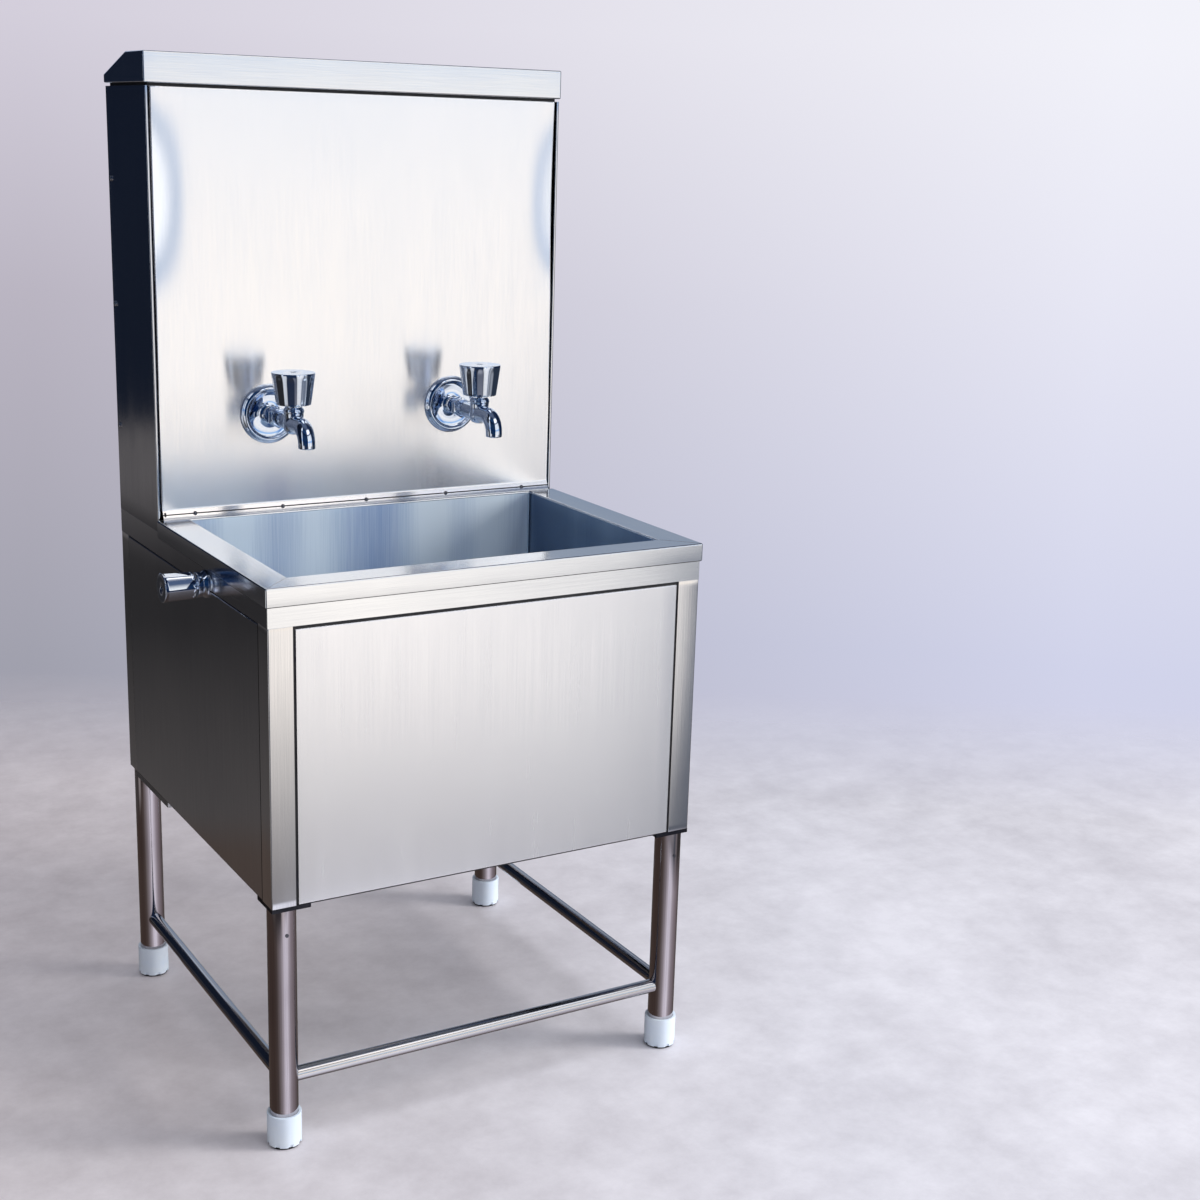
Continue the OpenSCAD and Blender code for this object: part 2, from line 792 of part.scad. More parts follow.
module tap_backnuts() {
    across = 32;
    nut_h = 8;
    color("goldenrod") in_place()
        for (x = [tap_left_x, tap_right_x])
            translate([x, splash_y + sheet_t, tap_z]) rotate([-90, 0, 0]) difference() {
                cylinder(d = across / cos(30), h = nut_h, $fn = 6);
                translate([0, 0, -cut]) cylinder(d = shank_d + 2 * turn_fit, h = nut_h + 2 * cut);
            }
}

module tap_cartridge(x) {
    low = tap_z - cartridge_low;
    high = tap_z + boss_high;
    color("goldenrod") in_place() difference() {
        union() {
            bar_z(cartridge_d, low, high, x, tap_valve_y);
            bar_z(tap_boss_d, high, high + bonnet_h, x, tap_valve_y);
        }
        bar_z(spindle_d + 2 * turn_fit, low + 3, high + bonnet_h + cut, x, tap_valve_y);
    }
}

module tap_cartridge_left() tap_cartridge(tap_left_x);
module tap_cartridge_right() tap_cartridge(tap_right_x);

module tap_spindle(x) {
    foot = tap_z - cartridge_low + 3 + slip;
    color("silver") in_place() difference() {
        bar_z(spindle_d, foot, spindle_top, x, tap_valve_y);
        bar_z(knob_screw_d + 2 * turn_fit, spindle_top - 10, spindle_top + cut, x, tap_valve_y);
    }
}

module tap_spindle_left() tap_spindle(tap_left_x);
module tap_spindle_right() tap_spindle(tap_right_x);

// A tapered handle with scalloped grips, its small end at z = 0
module grip_handle(low_d, top_d, h, flutes, flute_d, depth) {
    lean = atan((top_d - low_d) / 2 / h);
    difference() {
        union() {
            cylinder(d1 = low_d, d2 = top_d, h = h - 2, $fn = 96);
            translate([0, 0, h - 2]) cylinder(d1 = top_d, d2 = top_d - 4, h = 2, $fn = 96);
        }
        for (k = [0 : flutes - 1])
            rotate([0, 0, k * 360 / flutes]) translate([low_d / 2 + flute_d / 2 - depth, 0, 0])
                rotate([0, lean, 0]) translate([0, 0, -h]) cylinder(d = flute_d, h = 3 * h);
    }
}

module tap_knob(x) {
    color("silver") in_place() translate([x, tap_valve_y, knob_z]) difference() {
        grip_handle(knob_low_d, knob_top_d, knob_h, knob_flutes, knob_flute_d, knob_flute_depth);
        translate([0, 0, -cut]) cylinder(d = spindle_d + 2 * turn_fit, h = spindle_top - knob_z + cut);
        cylinder(d = knob_screw_d + 2 * slip, h = knob_h);
        translate([0, 0, knob_h - knob_screw_sink]) cylinder(d = knob_screw_head_d + 2 * slip, h = knob_h);
    }
}

module tap_knob_left() tap_knob(tap_left_x);
module tap_knob_right() tap_knob(tap_right_x);

module knob_screw(head_h, shank_l) {
    cylinder(d = knob_screw_head_d, h = head_h);
    translate([0, 0, -shank_l]) cylinder(d = knob_screw_d, h = shank_l);
}

module tap_knob_screw(x) {
    color("dimgray") in_place() translate([x, tap_valve_y, knob_z + knob_h - knob_screw_sink])
        knob_screw(2.2, 13);
}

module tap_knob_screw_left() tap_knob_screw(tap_left_x);
module tap_knob_screw_right() tap_knob_screw(tap_right_x);

// Stopcock on the left side, turned so that its own axis points out of the cabinet
port_d = 20;
port_reach = 16;
neck_out = 16.5;
flange_reach = 14;
flange_ring_l = 7;
stopcock_facets = 6;
stopcock_facet_d = 160;
stopcock_facet_depth = 2.2;
stopcock_spindle_d = 6;
stopcock_knob_gap = 1.5;
stopcock_knob_l = stopcock_reach - neck_out - stopcock_knob_gap;

module stopcock_place() {
    in_place() translate([-half_w, -stopcock_y, stopcock_z]) rotate([0, -90, 0]) children();
}

module stopcock_body() {
    inner = pipe_x + half_w;
    low = -inner - stopcock_body_d / 2;
    port_z = -inner;
    color("goldenrod") stopcock_place() difference() {
        union() {
            translate([0, 0, low]) cylinder(d = stopcock_body_d, h = -sheet_t - slip - low);
            translate([0, 0, low]) cylinder(d = stopcock_neck_d, h = neck_out - low);
            translate([-port_reach, 0, port_z]) rotate([0, 90, 0]) cylinder(d = port_d, h = 2 * port_reach);
        }
        translate([0, 0, low + 3]) cylinder(d = stopcock_spindle_d + 2 * turn_fit, h = neck_out - low);
        translate([-port_reach - cut, 0, port_z]) rotate([0, 90, 0])
            cylinder(d = pipe_d + 2 * turn_fit, h = port_reach - 6);
        translate([6 + cut, 0, port_z]) rotate([0, 90, 0])
            cylinder(d = pipe_d + 2 * turn_fit, h = port_reach);
    }
}

module stopcock_flange() {
    ring_r = stopcock_flange_d / 2;
    color("silver") stopcock_place() difference() {
        rotate_extrude($fn = 64) polygon([
            [0, 0], [ring_r + 2, 0], [ring_r + 2, 2], [ring_r - 2, flange_reach - flange_ring_l],
            [ring_r, flange_reach - flange_ring_l + 1], [ring_r, flange_reach - 1],
            [ring_r - 1, flange_reach], [0, flange_reach]
        ]);
        translate([0, 0, -cut]) cylinder(d = stopcock_neck_d + 2 * slip, h = neck_out);
    }
}

module stopcock_spindle() {
    low = -(pipe_x + half_w) - stopcock_body_d / 2 + 3 + slip;
    high = stopcock_reach - 9;
    color("silver") stopcock_place() difference() {
        translate([0, 0, low]) cylinder(d = stopcock_spindle_d, h = high - low);
        translate([0, 0, high - 10]) cylinder(d = knob_screw_d + 2 * turn_fit, h = 10 + cut);
    }
}

module stopcock_knob() {
    base = neck_out + stopcock_knob_gap;
    color("silver") stopcock_place() difference() {
        translate([0, 0, base])
            grip_handle(stopcock_low_d, stopcock_top_d, stopcock_knob_l,
                stopcock_facets, stopcock_facet_d, stopcock_facet_depth);
        cylinder(d = stopcock_spindle_d + 2 * turn_fit, h = stopcock_reach - 9);
        cylinder(d = knob_screw_d + 2 * slip, h = stopcock_reach + cut);
        translate([0, 0, stopcock_reach - knob_screw_sink])
            cylinder(d = knob_screw_head_d + 2 * slip, h = stopcock_reach);
    }
}

module stopcock_knob_screw() {
    color("dimgray") stopcock_place() translate([0, 0, stopcock_reach - knob_screw_sink])
        knob_screw(2.2, 13);
}

// Supply pipework
module inlet_path(d) {
    bar_y(d, inlet_turn_y, half_d - sheet_t - 10, -inlet_x, inlet_z);
    translate([-inlet_x, inlet_turn_y, inlet_z]) sphere(d = d);
    bar_x(d, pipe_x, -inlet_x, inlet_turn_y, inlet_z);
    translate([pipe_x, inlet_turn_y, inlet_z]) sphere(d = d);
    bar_y(d, -stopcock_y, inlet_turn_y, pipe_x, inlet_z);
    translate([pipe_x, -stopcock_y, inlet_z]) sphere(d = d);
    bar_z(d, inlet_z, stopcock_z - 7, pipe_x, -stopcock_y);
}

module inlet_pipe() {
    color("peru") in_place() difference() {
        inlet_path(pipe_d);
        inlet_path(pipe_d - 2 * pipe_wall);
        bar_y(pipe_d - 2 * pipe_wall, half_d - pipe_end, half_d, -inlet_x, inlet_z);
        bar_z(pipe_d - 2 * pipe_wall, stopcock_z - pipe_end, stopcock_z, pipe_x, -stopcock_y);
    }
}

module inlet_nipple() {
    across = 30;
    collar_t = 6;
    back_l = 26;
    tail = half_d - sheet_t - back_l;
    color("goldenrod") in_place() difference() {
        union() {
            bar_y(inlet_d, tail, half_d + collar_t + inlet_stub, -inlet_x, inlet_z);
            translate([-inlet_x, half_d + collar_t, inlet_z]) rotate([90, 0, 0])
                cylinder(d = across / cos(30), h = collar_t, $fn = 6);
        }
        bar_y(pipe_d - 2 * pipe_wall, tail - cut, rear_y, -inlet_x, inlet_z);
        bar_y(pipe_d + 2 * turn_fit, tail - cut, half_d - sheet_t - 10 + turn_fit, -inlet_x, inlet_z);
    }
}

module supply_path(d) {
    bar_z(d, stopcock_z + 7, run_z, pipe_x, -stopcock_y);
    translate([pipe_x, -stopcock_y, run_z]) sphere(d = d);
    bar_y(d, -stopcock_y, manifold_y, pipe_x, run_z);
    translate([pipe_x, manifold_y, run_z]) sphere(d = d);
    bar_z(d, run_z, tap_z, pipe_x, manifold_y);
    translate([pipe_x, manifold_y, tap_z]) sphere(d = d);
    bar_x(d, pipe_x, tap_right_x, manifold_y, tap_z);
    translate([tap_right_x, manifold_y, tap_z]) sphere(d = d);
}

module supply_pipe() {
    shank_end = splash_y + shank_back;
    color("peru") in_place() difference() {
        union() {
            supply_path(pipe_d);
            for (x = [tap_left_x, tap_right_x])
                bar_y(shank_d, shank_end, manifold_y, x, tap_z);
        }
        supply_path(pipe_d - 2 * pipe_wall);
        bar_z(pipe_d - 2 * pipe_wall, stopcock_z, stopcock_z + pipe_end, pipe_x, -stopcock_y);
        for (x = [tap_left_x, tap_right_x])
            bar_y(12, shank_end - cut, manifold_y, x, tap_z);
    }
}

leg_front_left();
leg_front_right();
leg_rear_left();
leg_rear_right();
foot_caps();
foot_pads();
leg_plates();
leg_set_screws();
stretcher_front();
stretcher_left();
stretcher_right();
corner_posts();
rail_front();
rail_left();
rail_right();
rail_rear();
front_panel();
side_panel_left();
side_panel_right();
rear_panel();
panel_straps();
service_tray();
sink_rim();
sink_bowl();
waste_strainer();
waste_gasket();
waste_nut();
bottle_trap();
waste_pipe();
splash_front_panel();
splash_side_left();
splash_side_right();
splash_back_cover();
cover_screws();
cap_seal();
splash_cap();
seam_rivets();
tap_flange_left();
tap_flange_right();
tap_body_left();
tap_body_right();
tap_backnuts();
tap_cartridge_left();
tap_cartridge_right();
tap_spindle_left();
tap_spindle_right();
tap_knob_left();
tap_knob_right();
tap_knob_screw_left();
tap_knob_screw_right();
stopcock_body();
stopcock_flange();
stopcock_spindle();
stopcock_knob();
stopcock_knob_screw();
inlet_nipple();
inlet_pipe();
supply_pipe();
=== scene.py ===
import math

import bmesh
import bpy
from mathutils import Matrix, Vector, noise


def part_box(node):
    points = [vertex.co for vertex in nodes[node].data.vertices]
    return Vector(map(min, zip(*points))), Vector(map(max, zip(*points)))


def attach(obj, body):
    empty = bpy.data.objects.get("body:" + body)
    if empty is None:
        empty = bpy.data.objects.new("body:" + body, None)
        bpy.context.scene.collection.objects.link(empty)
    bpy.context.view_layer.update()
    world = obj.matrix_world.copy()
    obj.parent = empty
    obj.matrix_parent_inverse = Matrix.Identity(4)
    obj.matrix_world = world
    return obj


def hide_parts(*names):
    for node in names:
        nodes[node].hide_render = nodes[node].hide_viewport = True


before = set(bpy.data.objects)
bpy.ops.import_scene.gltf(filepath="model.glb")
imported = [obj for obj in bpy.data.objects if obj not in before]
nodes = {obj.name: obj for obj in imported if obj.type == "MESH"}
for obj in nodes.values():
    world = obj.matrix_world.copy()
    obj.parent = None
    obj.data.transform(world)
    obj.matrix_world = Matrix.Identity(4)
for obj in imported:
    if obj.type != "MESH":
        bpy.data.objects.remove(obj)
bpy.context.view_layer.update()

mm = 0.001
moving = {"tapLeft": "tap_left_handle", "tapRight": "tap_right_handle", "stopcock": "stopcock_handle"}
print("frame loaded:", len(nodes), "nodes")


# Camera, set from the edges of the station in the photograph
shot = {
    "azimuth": -31.15, "elevation": 14.5, "roll": 1.8, "distance": 2.5716,
    "target": (0.2427, -0.2323, 0.6776), "focalPixels": 1810.0, "framePixels": 1200.0, "sensor": 36.0,
}


def makeCamera():
    around = math.radians(shot["azimuth"])
    above = math.radians(shot["elevation"])
    back = Vector((math.sin(around) * math.cos(above), -math.cos(around) * math.cos(above), math.sin(above)))
    right = (-back).cross(Vector((0, 0, 1))).normalized()
    up = right.cross(-back)
    turn = math.radians(shot["roll"])
    rolledRight = right * math.cos(turn) + up * math.sin(turn)
    rolledUp = up * math.cos(turn) - right * math.sin(turn)
    data = bpy.data.cameras.new("camera")
    data.sensor_width = shot["sensor"]
    data.lens = shot["focalPixels"] * shot["sensor"] / shot["framePixels"]
    camera = bpy.data.objects.new("camera", data)
    bpy.context.scene.collection.objects.link(camera)
    turned = Matrix((rolledRight, rolledUp, back)).transposed().to_4x4()
    camera.matrix_world = Matrix.Translation(Vector(shot["target"]) + back * shot["distance"]) @ turned
    bpy.context.scene.camera = camera


makeCamera()
bpy.context.scene.view_settings.view_transform = "Standard"
print("camera made")


# Small helpers for node trees
def node(tree, kind, **values):
    made = tree.nodes.new(kind)
    for key, value in values.items():
        if hasattr(made, key):
            setattr(made, key, value)
        else:
            made.inputs[key.replace("_", " ")].default_value = value
    return made


def wire(tree, source, target):
    tree.links.new(source, target)


def newMaterial(name):
    material = bpy.data.materials.new(name)
    material.use_nodes = True
    tree = material.node_tree
    return material, tree, tree.nodes["Principled BSDF"]


def stretchedNoise(tree, scale, stretch, detail=4.0, roughness=0.6, offset=(0, 0, 0)):
    # noise in object space, drawn out along one axis where stretch is small
    coords = node(tree, "ShaderNodeTexCoord")
    mapping = node(tree, "ShaderNodeMapping")
    mapping.inputs["Scale"].default_value = [scale * s for s in stretch]
    mapping.inputs["Location"].default_value = offset
    wire(tree, coords.outputs["Object"], mapping.inputs["Vector"])
    grain = node(tree, "ShaderNodeTexNoise", Scale=1.0, Detail=detail, Roughness=roughness)
    wire(tree, mapping.outputs["Vector"], grain.inputs["Vector"])
    return grain.outputs["Fac"]


def spread(tree, source, low, high, fromLow=0.3, fromHigh=0.7):
    remap = node(tree, "ShaderNodeMapRange", clamp=True)
    remap.inputs["From Min"].default_value = fromLow
    remap.inputs["From Max"].default_value = fromHigh
    remap.inputs["To Min"].default_value = low
    remap.inputs["To Max"].default_value = high
    wire(tree, source, remap.inputs["Value"])
    return remap.outputs["Result"]


def mixColours(tree, factor, first, second):
    mix = node(tree, "ShaderNodeMix", data_type="RGBA")
    if isinstance(factor, (int, float)):
        mix.inputs[0].default_value = factor
    else:
        wire(tree, factor, mix.inputs[0])
    # sockets named A and B repeat for each data type, so the colour ones are found by index
    for k, colour in ((6, first), (7, second)):
        if isinstance(colour, tuple):
            mix.inputs[k].default_value = (*colour, 1)
        else:
            wire(tree, colour, mix.inputs[k])
    return mix.outputs[2]


def mixShaders(tree, factor, first, second):
    mix = node(tree, "ShaderNodeMixShader")
    for k, source in enumerate((factor, first, second)):
        wire(tree, source, mix.inputs[k])
    return mix.outputs[0]


def maths(tree, operation, *values):
    made = node(tree, "ShaderNodeMath", operation=operation)
    for k, value in enumerate(values):
        if isinstance(value, (int, float)):
            made.inputs[k].default_value = value
        else:
            wire(tree, value, made.inputs[k])
    return made.outputs[0]


def bumped(tree, shader, height, strength, distance):
    bump = node(tree, "ShaderNodeBump", Strength=strength, Distance=distance)
    wire(tree, height, bump.inputs["Height"])
    wire(tree, bump.outputs["Normal"], shader.inputs["Normal"])


# Steel finishes: the grain runs along the axis whose stretch is smallest
steelLooks = {
    "splashSteel": {"light": (0.95, 0.95, 0.96), "dark": (0.90, 0.91, 0.93), "rough": (0.15, 0.20),
                    "stretch": (1, 1, 0.02), "grain": 900, "bump": 0.02, "patch": 3.0,
                    "metal": 0.84, "smear": 0.88},
    "frontSteel": {"light": (0.95, 0.95, 0.96), "dark": (0.90, 0.90, 0.92), "rough": (0.20, 0.28),
                   "stretch": (1, 1, 0.006), "grain": 700, "bump": 0.018, "patch": 4.0, "metal": 0.78},
    "sideSteel": {"light": (0.80, 0.80, 0.81), "dark": (0.66, 0.67, 0.70), "rough": (0.10, 0.18),
                  "stretch": (1, 1, 0.015), "grain": 700, "bump": 0.03, "patch": 3.0},
    "rimSteelX": {"light": (0.92, 0.94, 0.96), "dark": (0.85, 0.87, 0.90), "rough": (0.12, 0.20),
                  "stretch": (0.015, 1, 1), "grain": 800, "bump": 0.03, "patch": 5.0},
    "rimSteelY": {"light": (0.92, 0.94, 0.96), "dark": (0.84, 0.87, 0.91), "rough": (0.12, 0.20),
                  "stretch": (1, 0.015, 1), "grain": 800, "bump": 0.03, "patch": 5.0},
    # painted reflection: the blue of this steel stands for the sky reflected in the basin
    "bowlPaintedSkySteel": {"light": (0.80, 0.92, 1.00), "dark": (0.26, 0.38, 0.62), "rough": (0.14, 0.22),
                  "stretch": (1, 1, 0.012), "grain": 600, "bump": 0.02, "patch": 6.0,
                  "metal": 0.42, "grainShare": 0.15, "tones": (0.56, 0.76),
                  "patchStretch": (1, 1, 0.08), "patchDetail": 1.0},
    # painted shade: a darker copy of the basin steel for the side walls, which stand in shade
    "bowlWallPaintedShade": {"light": (0.30, 0.38, 0.48), "dark": (0.10, 0.15, 0.24), "rough": (0.16, 0.26),
                       "stretch": (1, 1, 0.012), "grain": 600, "bump": 0.02, "patch": 6.0,
                       "metal": 0.85, "grainShare": 0.15, "tones": (0.45, 0.70),
                       "patchStretch": (1, 1, 0.08), "patchDetail": 1.0},
    "postSteel": {"light": (0.88, 0.87, 0.87), "dark": (0.74, 0.74, 0.75), "rough": (0.10, 0.17),
                  "stretch": (1, 1, 0.01), "grain": 700, "bump": 0.03, "patch": 5.0},
    "legSteel": {"light": (0.66, 0.60, 0.61), "dark": (0.48, 0.43, 0.44), "rough": (0.07, 0.12),
                 "stretch": (1, 1, 0.01), "grain": 700, "bump": 0.006, "patch": 6.0},
    "barSteelX": {"light": (0.75, 0.74, 0.74), "dark": (0.62, 0.61, 0.62), "rough": (0.10, 0.16),
                  "stretch": (0.01, 1, 1), "grain": 700, "bump": 0.02, "patch": 6.0},
    "barSteelY": {"light": (0.75, 0.74, 0.74), "dark": (0.62, 0.61, 0.62), "rough": (0.10, 0.16),
                  "stretch": (1, 0.01, 1), "grain": 700, "bump": 0.02, "patch": 6.0},
    "millSteel": {"light": (0.50, 0.50, 0.51), "dark": (0.38, 0.38, 0.40), "rough": (0.30, 0.45),
                  "stretch": (1, 0.3, 1), "grain": 250, "bump": 0.06, "patch": 8.0},
    "weldSteel": {"light": (0.70, 0.69, 0.68), "dark": (0.42, 0.38, 0.35), "rough": (0.22, 0.40),
                  "stretch": (1, 1, 1), "grain": 300, "bump": 0.15, "patch": 60.0},
    "screwSteel": {"light": (0.60, 0.60, 0.60), "dark": (0.40, 0.40, 0.42), "rough": (0.20, 0.32),
                   "stretch": (1, 1, 1), "grain": 600, "bump": 0.05, "patch": 40.0},
    # painted shade: a near black steel for parts that sit in shadow, the straps behind the panel gaps and the
    # plates under the body
    "darkSteel": {"light": (0.06, 0.06, 0.07), "dark": (0.03, 0.03, 0.04), "rough": (0.45, 0.60),
                  "stretch": (1, 1, 1), "grain": 300, "bump": 0.05, "patch": 20.0},
    "rivetSteel": {"light": (0.20, 0.20, 0.22), "dark": (0.10, 0.10, 0.12), "rough": (0.30, 0.45),
                   "stretch": (1, 1, 1), "grain": 600, "bump": 0.05, "patch": 40.0},
    # painted reflection in part: the blue tint of the chrome stands for the blue of the room it reflects
    "chromePlate": {"light": (0.78, 0.84, 0.94), "dark": (0.66, 0.75, 0.89), "rough": (0.03, 0.05),
                    "stretch": (1, 1, 1), "grain": 400, "bump": 0.004, "patch": 12.0},
    "brassMetal": {"light": (0.78, 0.62, 0.30), "dark": (0.60, 0.45, 0.20), "rough": (0.22, 0.34),
                   "stretch": (1, 1, 1), "grain": 500, "bump": 0.05, "patch": 30.0},
    "copperMetal": {"light": (0.80, 0.48, 0.33), "dark": (0.55, 0.32, 0.22), "rough": (0.24, 0.40),
                    "stretch": (1, 1, 1), "grain": 300, "bump": 0.05, "patch": 20.0},
}


def steelFinish(name, look):
    material, tree, shader = newMaterial(name)
    shader.inputs["Metallic"].default_value = look.get("metal", 1.0)
    if "smear" in look:
        # brushing spreads reflections up and down
        shader.inputs["Anisotropic"].default_value = look["smear"]
        tangent = node(tree, "ShaderNodeTangent", direction_type="RADIAL", axis="X")
        wire(tree, tangent.outputs[0], shader.inputs["Tangent"])
    grain = stretchedNoise(tree, look["grain"], look["stretch"])
    patch = stretchedNoise(tree, look["patch"], look.get("patchStretch", (1, 1, 1)),
                           look.get("patchDetail", 3.0))
    cloud = stretchedNoise(tree, look["patch"] * 9, [max(s, 0.15) for s in look["stretch"]], detail=5.0)
    both = maths(tree, "MULTIPLY_ADD", grain, look.get("grainShare", 1.0), patch)
    tone = spread(tree, both, 0, 1, *look.get("tones", (0.7, 1.3)))
    wire(tree, mixColours(tree, tone, look["light"], look["dark"]), shader.inputs["Base Color"])
    streak = maths(tree, "ADD", grain, cloud)
    wire(tree, spread(tree, streak, *look["rough"], 0.7, 1.3), shader.inputs["Roughness"])
    bumped(tree, shader, grain, look["bump"], 1 * mm)
    return material


plasticLooks = {
    "footPlastic": {"light": (0.84, 0.93, 1.00), "dark": (0.74, 0.86, 1.00), "rough": (0.32, 0.48),
                    "grain": 120},
    "pipePlastic": {"light": (0.80, 0.80, 0.79), "dark": (0.70, 0.70, 0.70), "rough": (0.35, 0.50),
                    "grain": 80},
    "blackRubber": {"light": (0.025, 0.025, 0.027), "dark": (0.012, 0.012, 0.013), "rough": (0.55, 0.75),
                    "grain": 200},
}


def plasticFinish(name, look):
    material, tree, shader = newMaterial(name)
    cloud = stretchedNoise(tree, look["grain"] * 0.15, (1, 1, 1), detail=3.0)
    pits = stretchedNoise(tree, look["grain"] * 8, (1, 1, 1), detail=2.0)
    tone = spread(tree, cloud, 0, 1, 0.35, 0.75)
    wire(tree, mixColours(tree, tone, look["light"], look["dark"]), shader.inputs["Base Color"])
    wire(tree, spread(tree, pits, *look["rough"]), shader.inputs["Roughness"])
    bumped(tree, shader, pits, 0.08, 0.5 * mm)
    return material


finishes = {name: steelFinish(name, look) for name, look in steelLooks.items()}
finishes.update({name: plasticFinish(name, look) for name, look in plasticLooks.items()})
print("finishes made:", len(finishes))


# Mesh helpers
def toObject(bm, name, finish, body, replaces=None, sharpAngle=35):
    mesh = bpy.data.meshes.new(name)
    bm.to_mesh(mesh)
    bm.free()
    mesh.shade_smooth()
    mesh.set_sharp_from_angle(angle=math.radians(sharpAngle))
    for material in (finish if isinstance(finish, list) else [finish]):
        mesh.materials.append(finishes[material])
    piece = bpy.data.objects.new(name, mesh)
    bpy.context.scene.collection.objects.link(piece)
    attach(piece, body)
    if replaces:
        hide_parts(replaces)
    return piece


def evenShading(piece):
    # keeps flat faces flat beside their rounded folds
    even = piece.modifiers.new("even", "WEIGHTED_NORMAL")
    even.keep_sharp = True


def thicken(piece, thickness):
    # the sheet gets its wall behind the outer face
    sheet = piece.modifiers.new("sheet", "SOLIDIFY")
    sheet.thickness = thickness
    sheet.offset = -1.0
    sheet.use_even_offset = True
    evenShading(piece)


def faceAwayFrom(bm, inside):
    bm.normal_update()
    total = sum(f.normal.dot(f.calc_center_median() - Vector(inside)) * f.calc_area() for f in bm.faces)
    if total < 0:
        bmesh.ops.reverse_faces(bm, faces=bm.faces[:])


placeOn = {
    "X": lambda a, b, run: (run, a, b),
    "Y": lambda a, b, run: (a, run, b),
    "Z": lambda a, b, run: (a, b, run),
}


def moveNew(bm, grown, shift):
    bmesh.ops.translate(bm, vec=shift, verts=[g for g in grown if isinstance(g, bmesh.types.BMVert)])


def drawEdges(bm, edges, shift):
    moveNew(bm, bmesh.ops.extrude_edge_only(bm, edges=edges)["geom"], shift)


def drawFaces(bm, faces, shift):
    grown = bmesh.ops.extrude_face_region(bm, geom=faces)["geom"]
    moveNew(bm, grown, shift)
    return grown


def roundEdges(bm, edges, radius, segments, clamp=False):
    bmesh.ops.bevel(bm, geom=edges, offset=radius, segments=segments, profile=0.5,
                    affect="EDGES", material=-1, clamp_overlap=clamp)


def roundFolds(bm, radius, segments=3):
    folds = [e for e in bm.edges if len(e.link_faces) == 2 and e.calc_face_angle(0) > 0.3]
    roundEdges(bm, folds, radius, segments, clamp=True)


def foldedSheet(outline, axis, start, end, radius):
    # an open outline drawn along an axis, with its folds rounded
    bm = bmesh.new()
    verts = [bm.verts.new(placeOn[axis](a, b, start)) for a, b in outline]
    edges = [bm.edges.new(pair) for pair in zip(verts, verts[1:])]
    drawEdges(bm, edges, Vector(placeOn[axis](0, 0, end - start)))
    roundFolds(bm, radius)
    return bm


def slices(bm, axis, low, high, count):
    normal = Vector(placeOn[axis](0, 0, 1))
    for step in range(1, count):
        point = normal * (low + (high - low) * step / count)
        geometry = bm.verts[:] + bm.edges[:] + bm.faces[:]
        bmesh.ops.bisect_plane(bm, geom=geometry, plane_co=point, plane_no=normal)


def mergedCopy(nodeName):
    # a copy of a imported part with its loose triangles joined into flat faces
    bm = bmesh.new()
    bm.from_mesh(nodes[nodeName].data)
    bmesh.ops.remove_doubles(bm, verts=bm.verts[:], dist=2e-6)
    bmesh.ops.dissolve_limit(bm, angle_limit=math.radians(0.6), verts=bm.verts[:], edges=bm.edges[:])
    return bm


def softCopy(nodeName, finish, body, radius=0.0):
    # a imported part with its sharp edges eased
    bm = mergedCopy(nodeName)
    if radius:
        sharp = [e for e in bm.edges if len(e.link_faces) == 2 and e.calc_face_angle(0) > math.radians(40)]
        roundEdges(bm, sharp, radius, 2, clamp=True)
    evenShading(toObject(bm, nodeName + "_look", finish, body, nodeName, sharpAngle=38))


def lathe(profile, centre, axis, steps=64):
    # profile is a list of (radius, distance along the axis)
    bm = bmesh.new()
    along = Vector(axis).normalized()
    across = along.orthogonal().normalized()
    start = Vector(centre)
    verts = [bm.verts.new(start + across * r + along * h) for r, h in profile]
    edges = [bm.edges.new(pair) for pair in zip(verts, verts[1:])]
    bmesh.ops.spin(bm, geom=verts + edges, cent=start, axis=along, angle=2 * math.pi,
                   steps=steps, use_merge=True, dvec=(0, 0, 0))
    bmesh.ops.remove_doubles(bm, verts=bm.verts[:], dist=1e-6)
    bmesh.ops.recalc_face_normals(bm, faces=bm.faces[:])
    return bm


def arc(centre, radius, start, end, steps):
    return [(centre[0] + radius * math.cos(math.radians(start + (end - start) * k / steps)),
             centre[1] + radius * math.sin(math.radians(start + (end - start) * k / steps)))
            for k in range(steps + 1)]


def joinInto(target, other):
    # adds the faces of one bmesh to another
    carrier = bpy.data.meshes.new("carrier")
    other.to_mesh(carrier)
    other.free()
    target.from_mesh(carrier)
    bpy.data.meshes.remove(carrier)


def settle(piece):
    # puts what the modifiers make into the piece's own mesh
    bpy.context.view_layer.update()
    graph = bpy.context.evaluated_depsgraph_get()
    result = bpy.data.meshes.new_from_object(piece.evaluated_get(graph))
    piece.modifiers.clear()
    old = piece.data
    piece.data = result
    bpy.data.meshes.remove(old)


def cutWith(piece, cutterBm):
    # takes the cutter away from the piece's own mesh
    carrier = bpy.data.meshes.new("cutter")
    cutterBm.to_mesh(carrier)
    cutterBm.free()
    cutter = bpy.data.objects.new("cutter", carrier)
    bpy.context.scene.collection.objects.link(cutter)
    cut = piece.modifiers.new("cut", "BOOLEAN")
    cut.operation = "DIFFERENCE"
    cut.solver = "EXACT"
    cut.object = cutter
    settle(piece)
    bpy.data.objects.remove(cutter)
    bpy.data.meshes.remove(carrier)
    piece.data.set_sharp_from_angle(angle=math.radians(35))
    evenShading(piece)


def rod(radius, start, end, segments=48):
    bm = bmesh.new()
    path = Vector(end) - Vector(start)
    turn = path.to_track_quat("Z", "Y").to_matrix().to_4x4()
    place = Matrix.Translation((Vector(start) + Vector(end)) / 2) @ turn
    bmesh.ops.create_cone(bm, cap_ends=True, segments=segments, radius1=radius, radius2=radius,
                          depth=path.length, matrix=place)
    return bm


def centreOf(nodeName):
    low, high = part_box(nodeName)
    return (low + high) / 2


print("helpers ready")


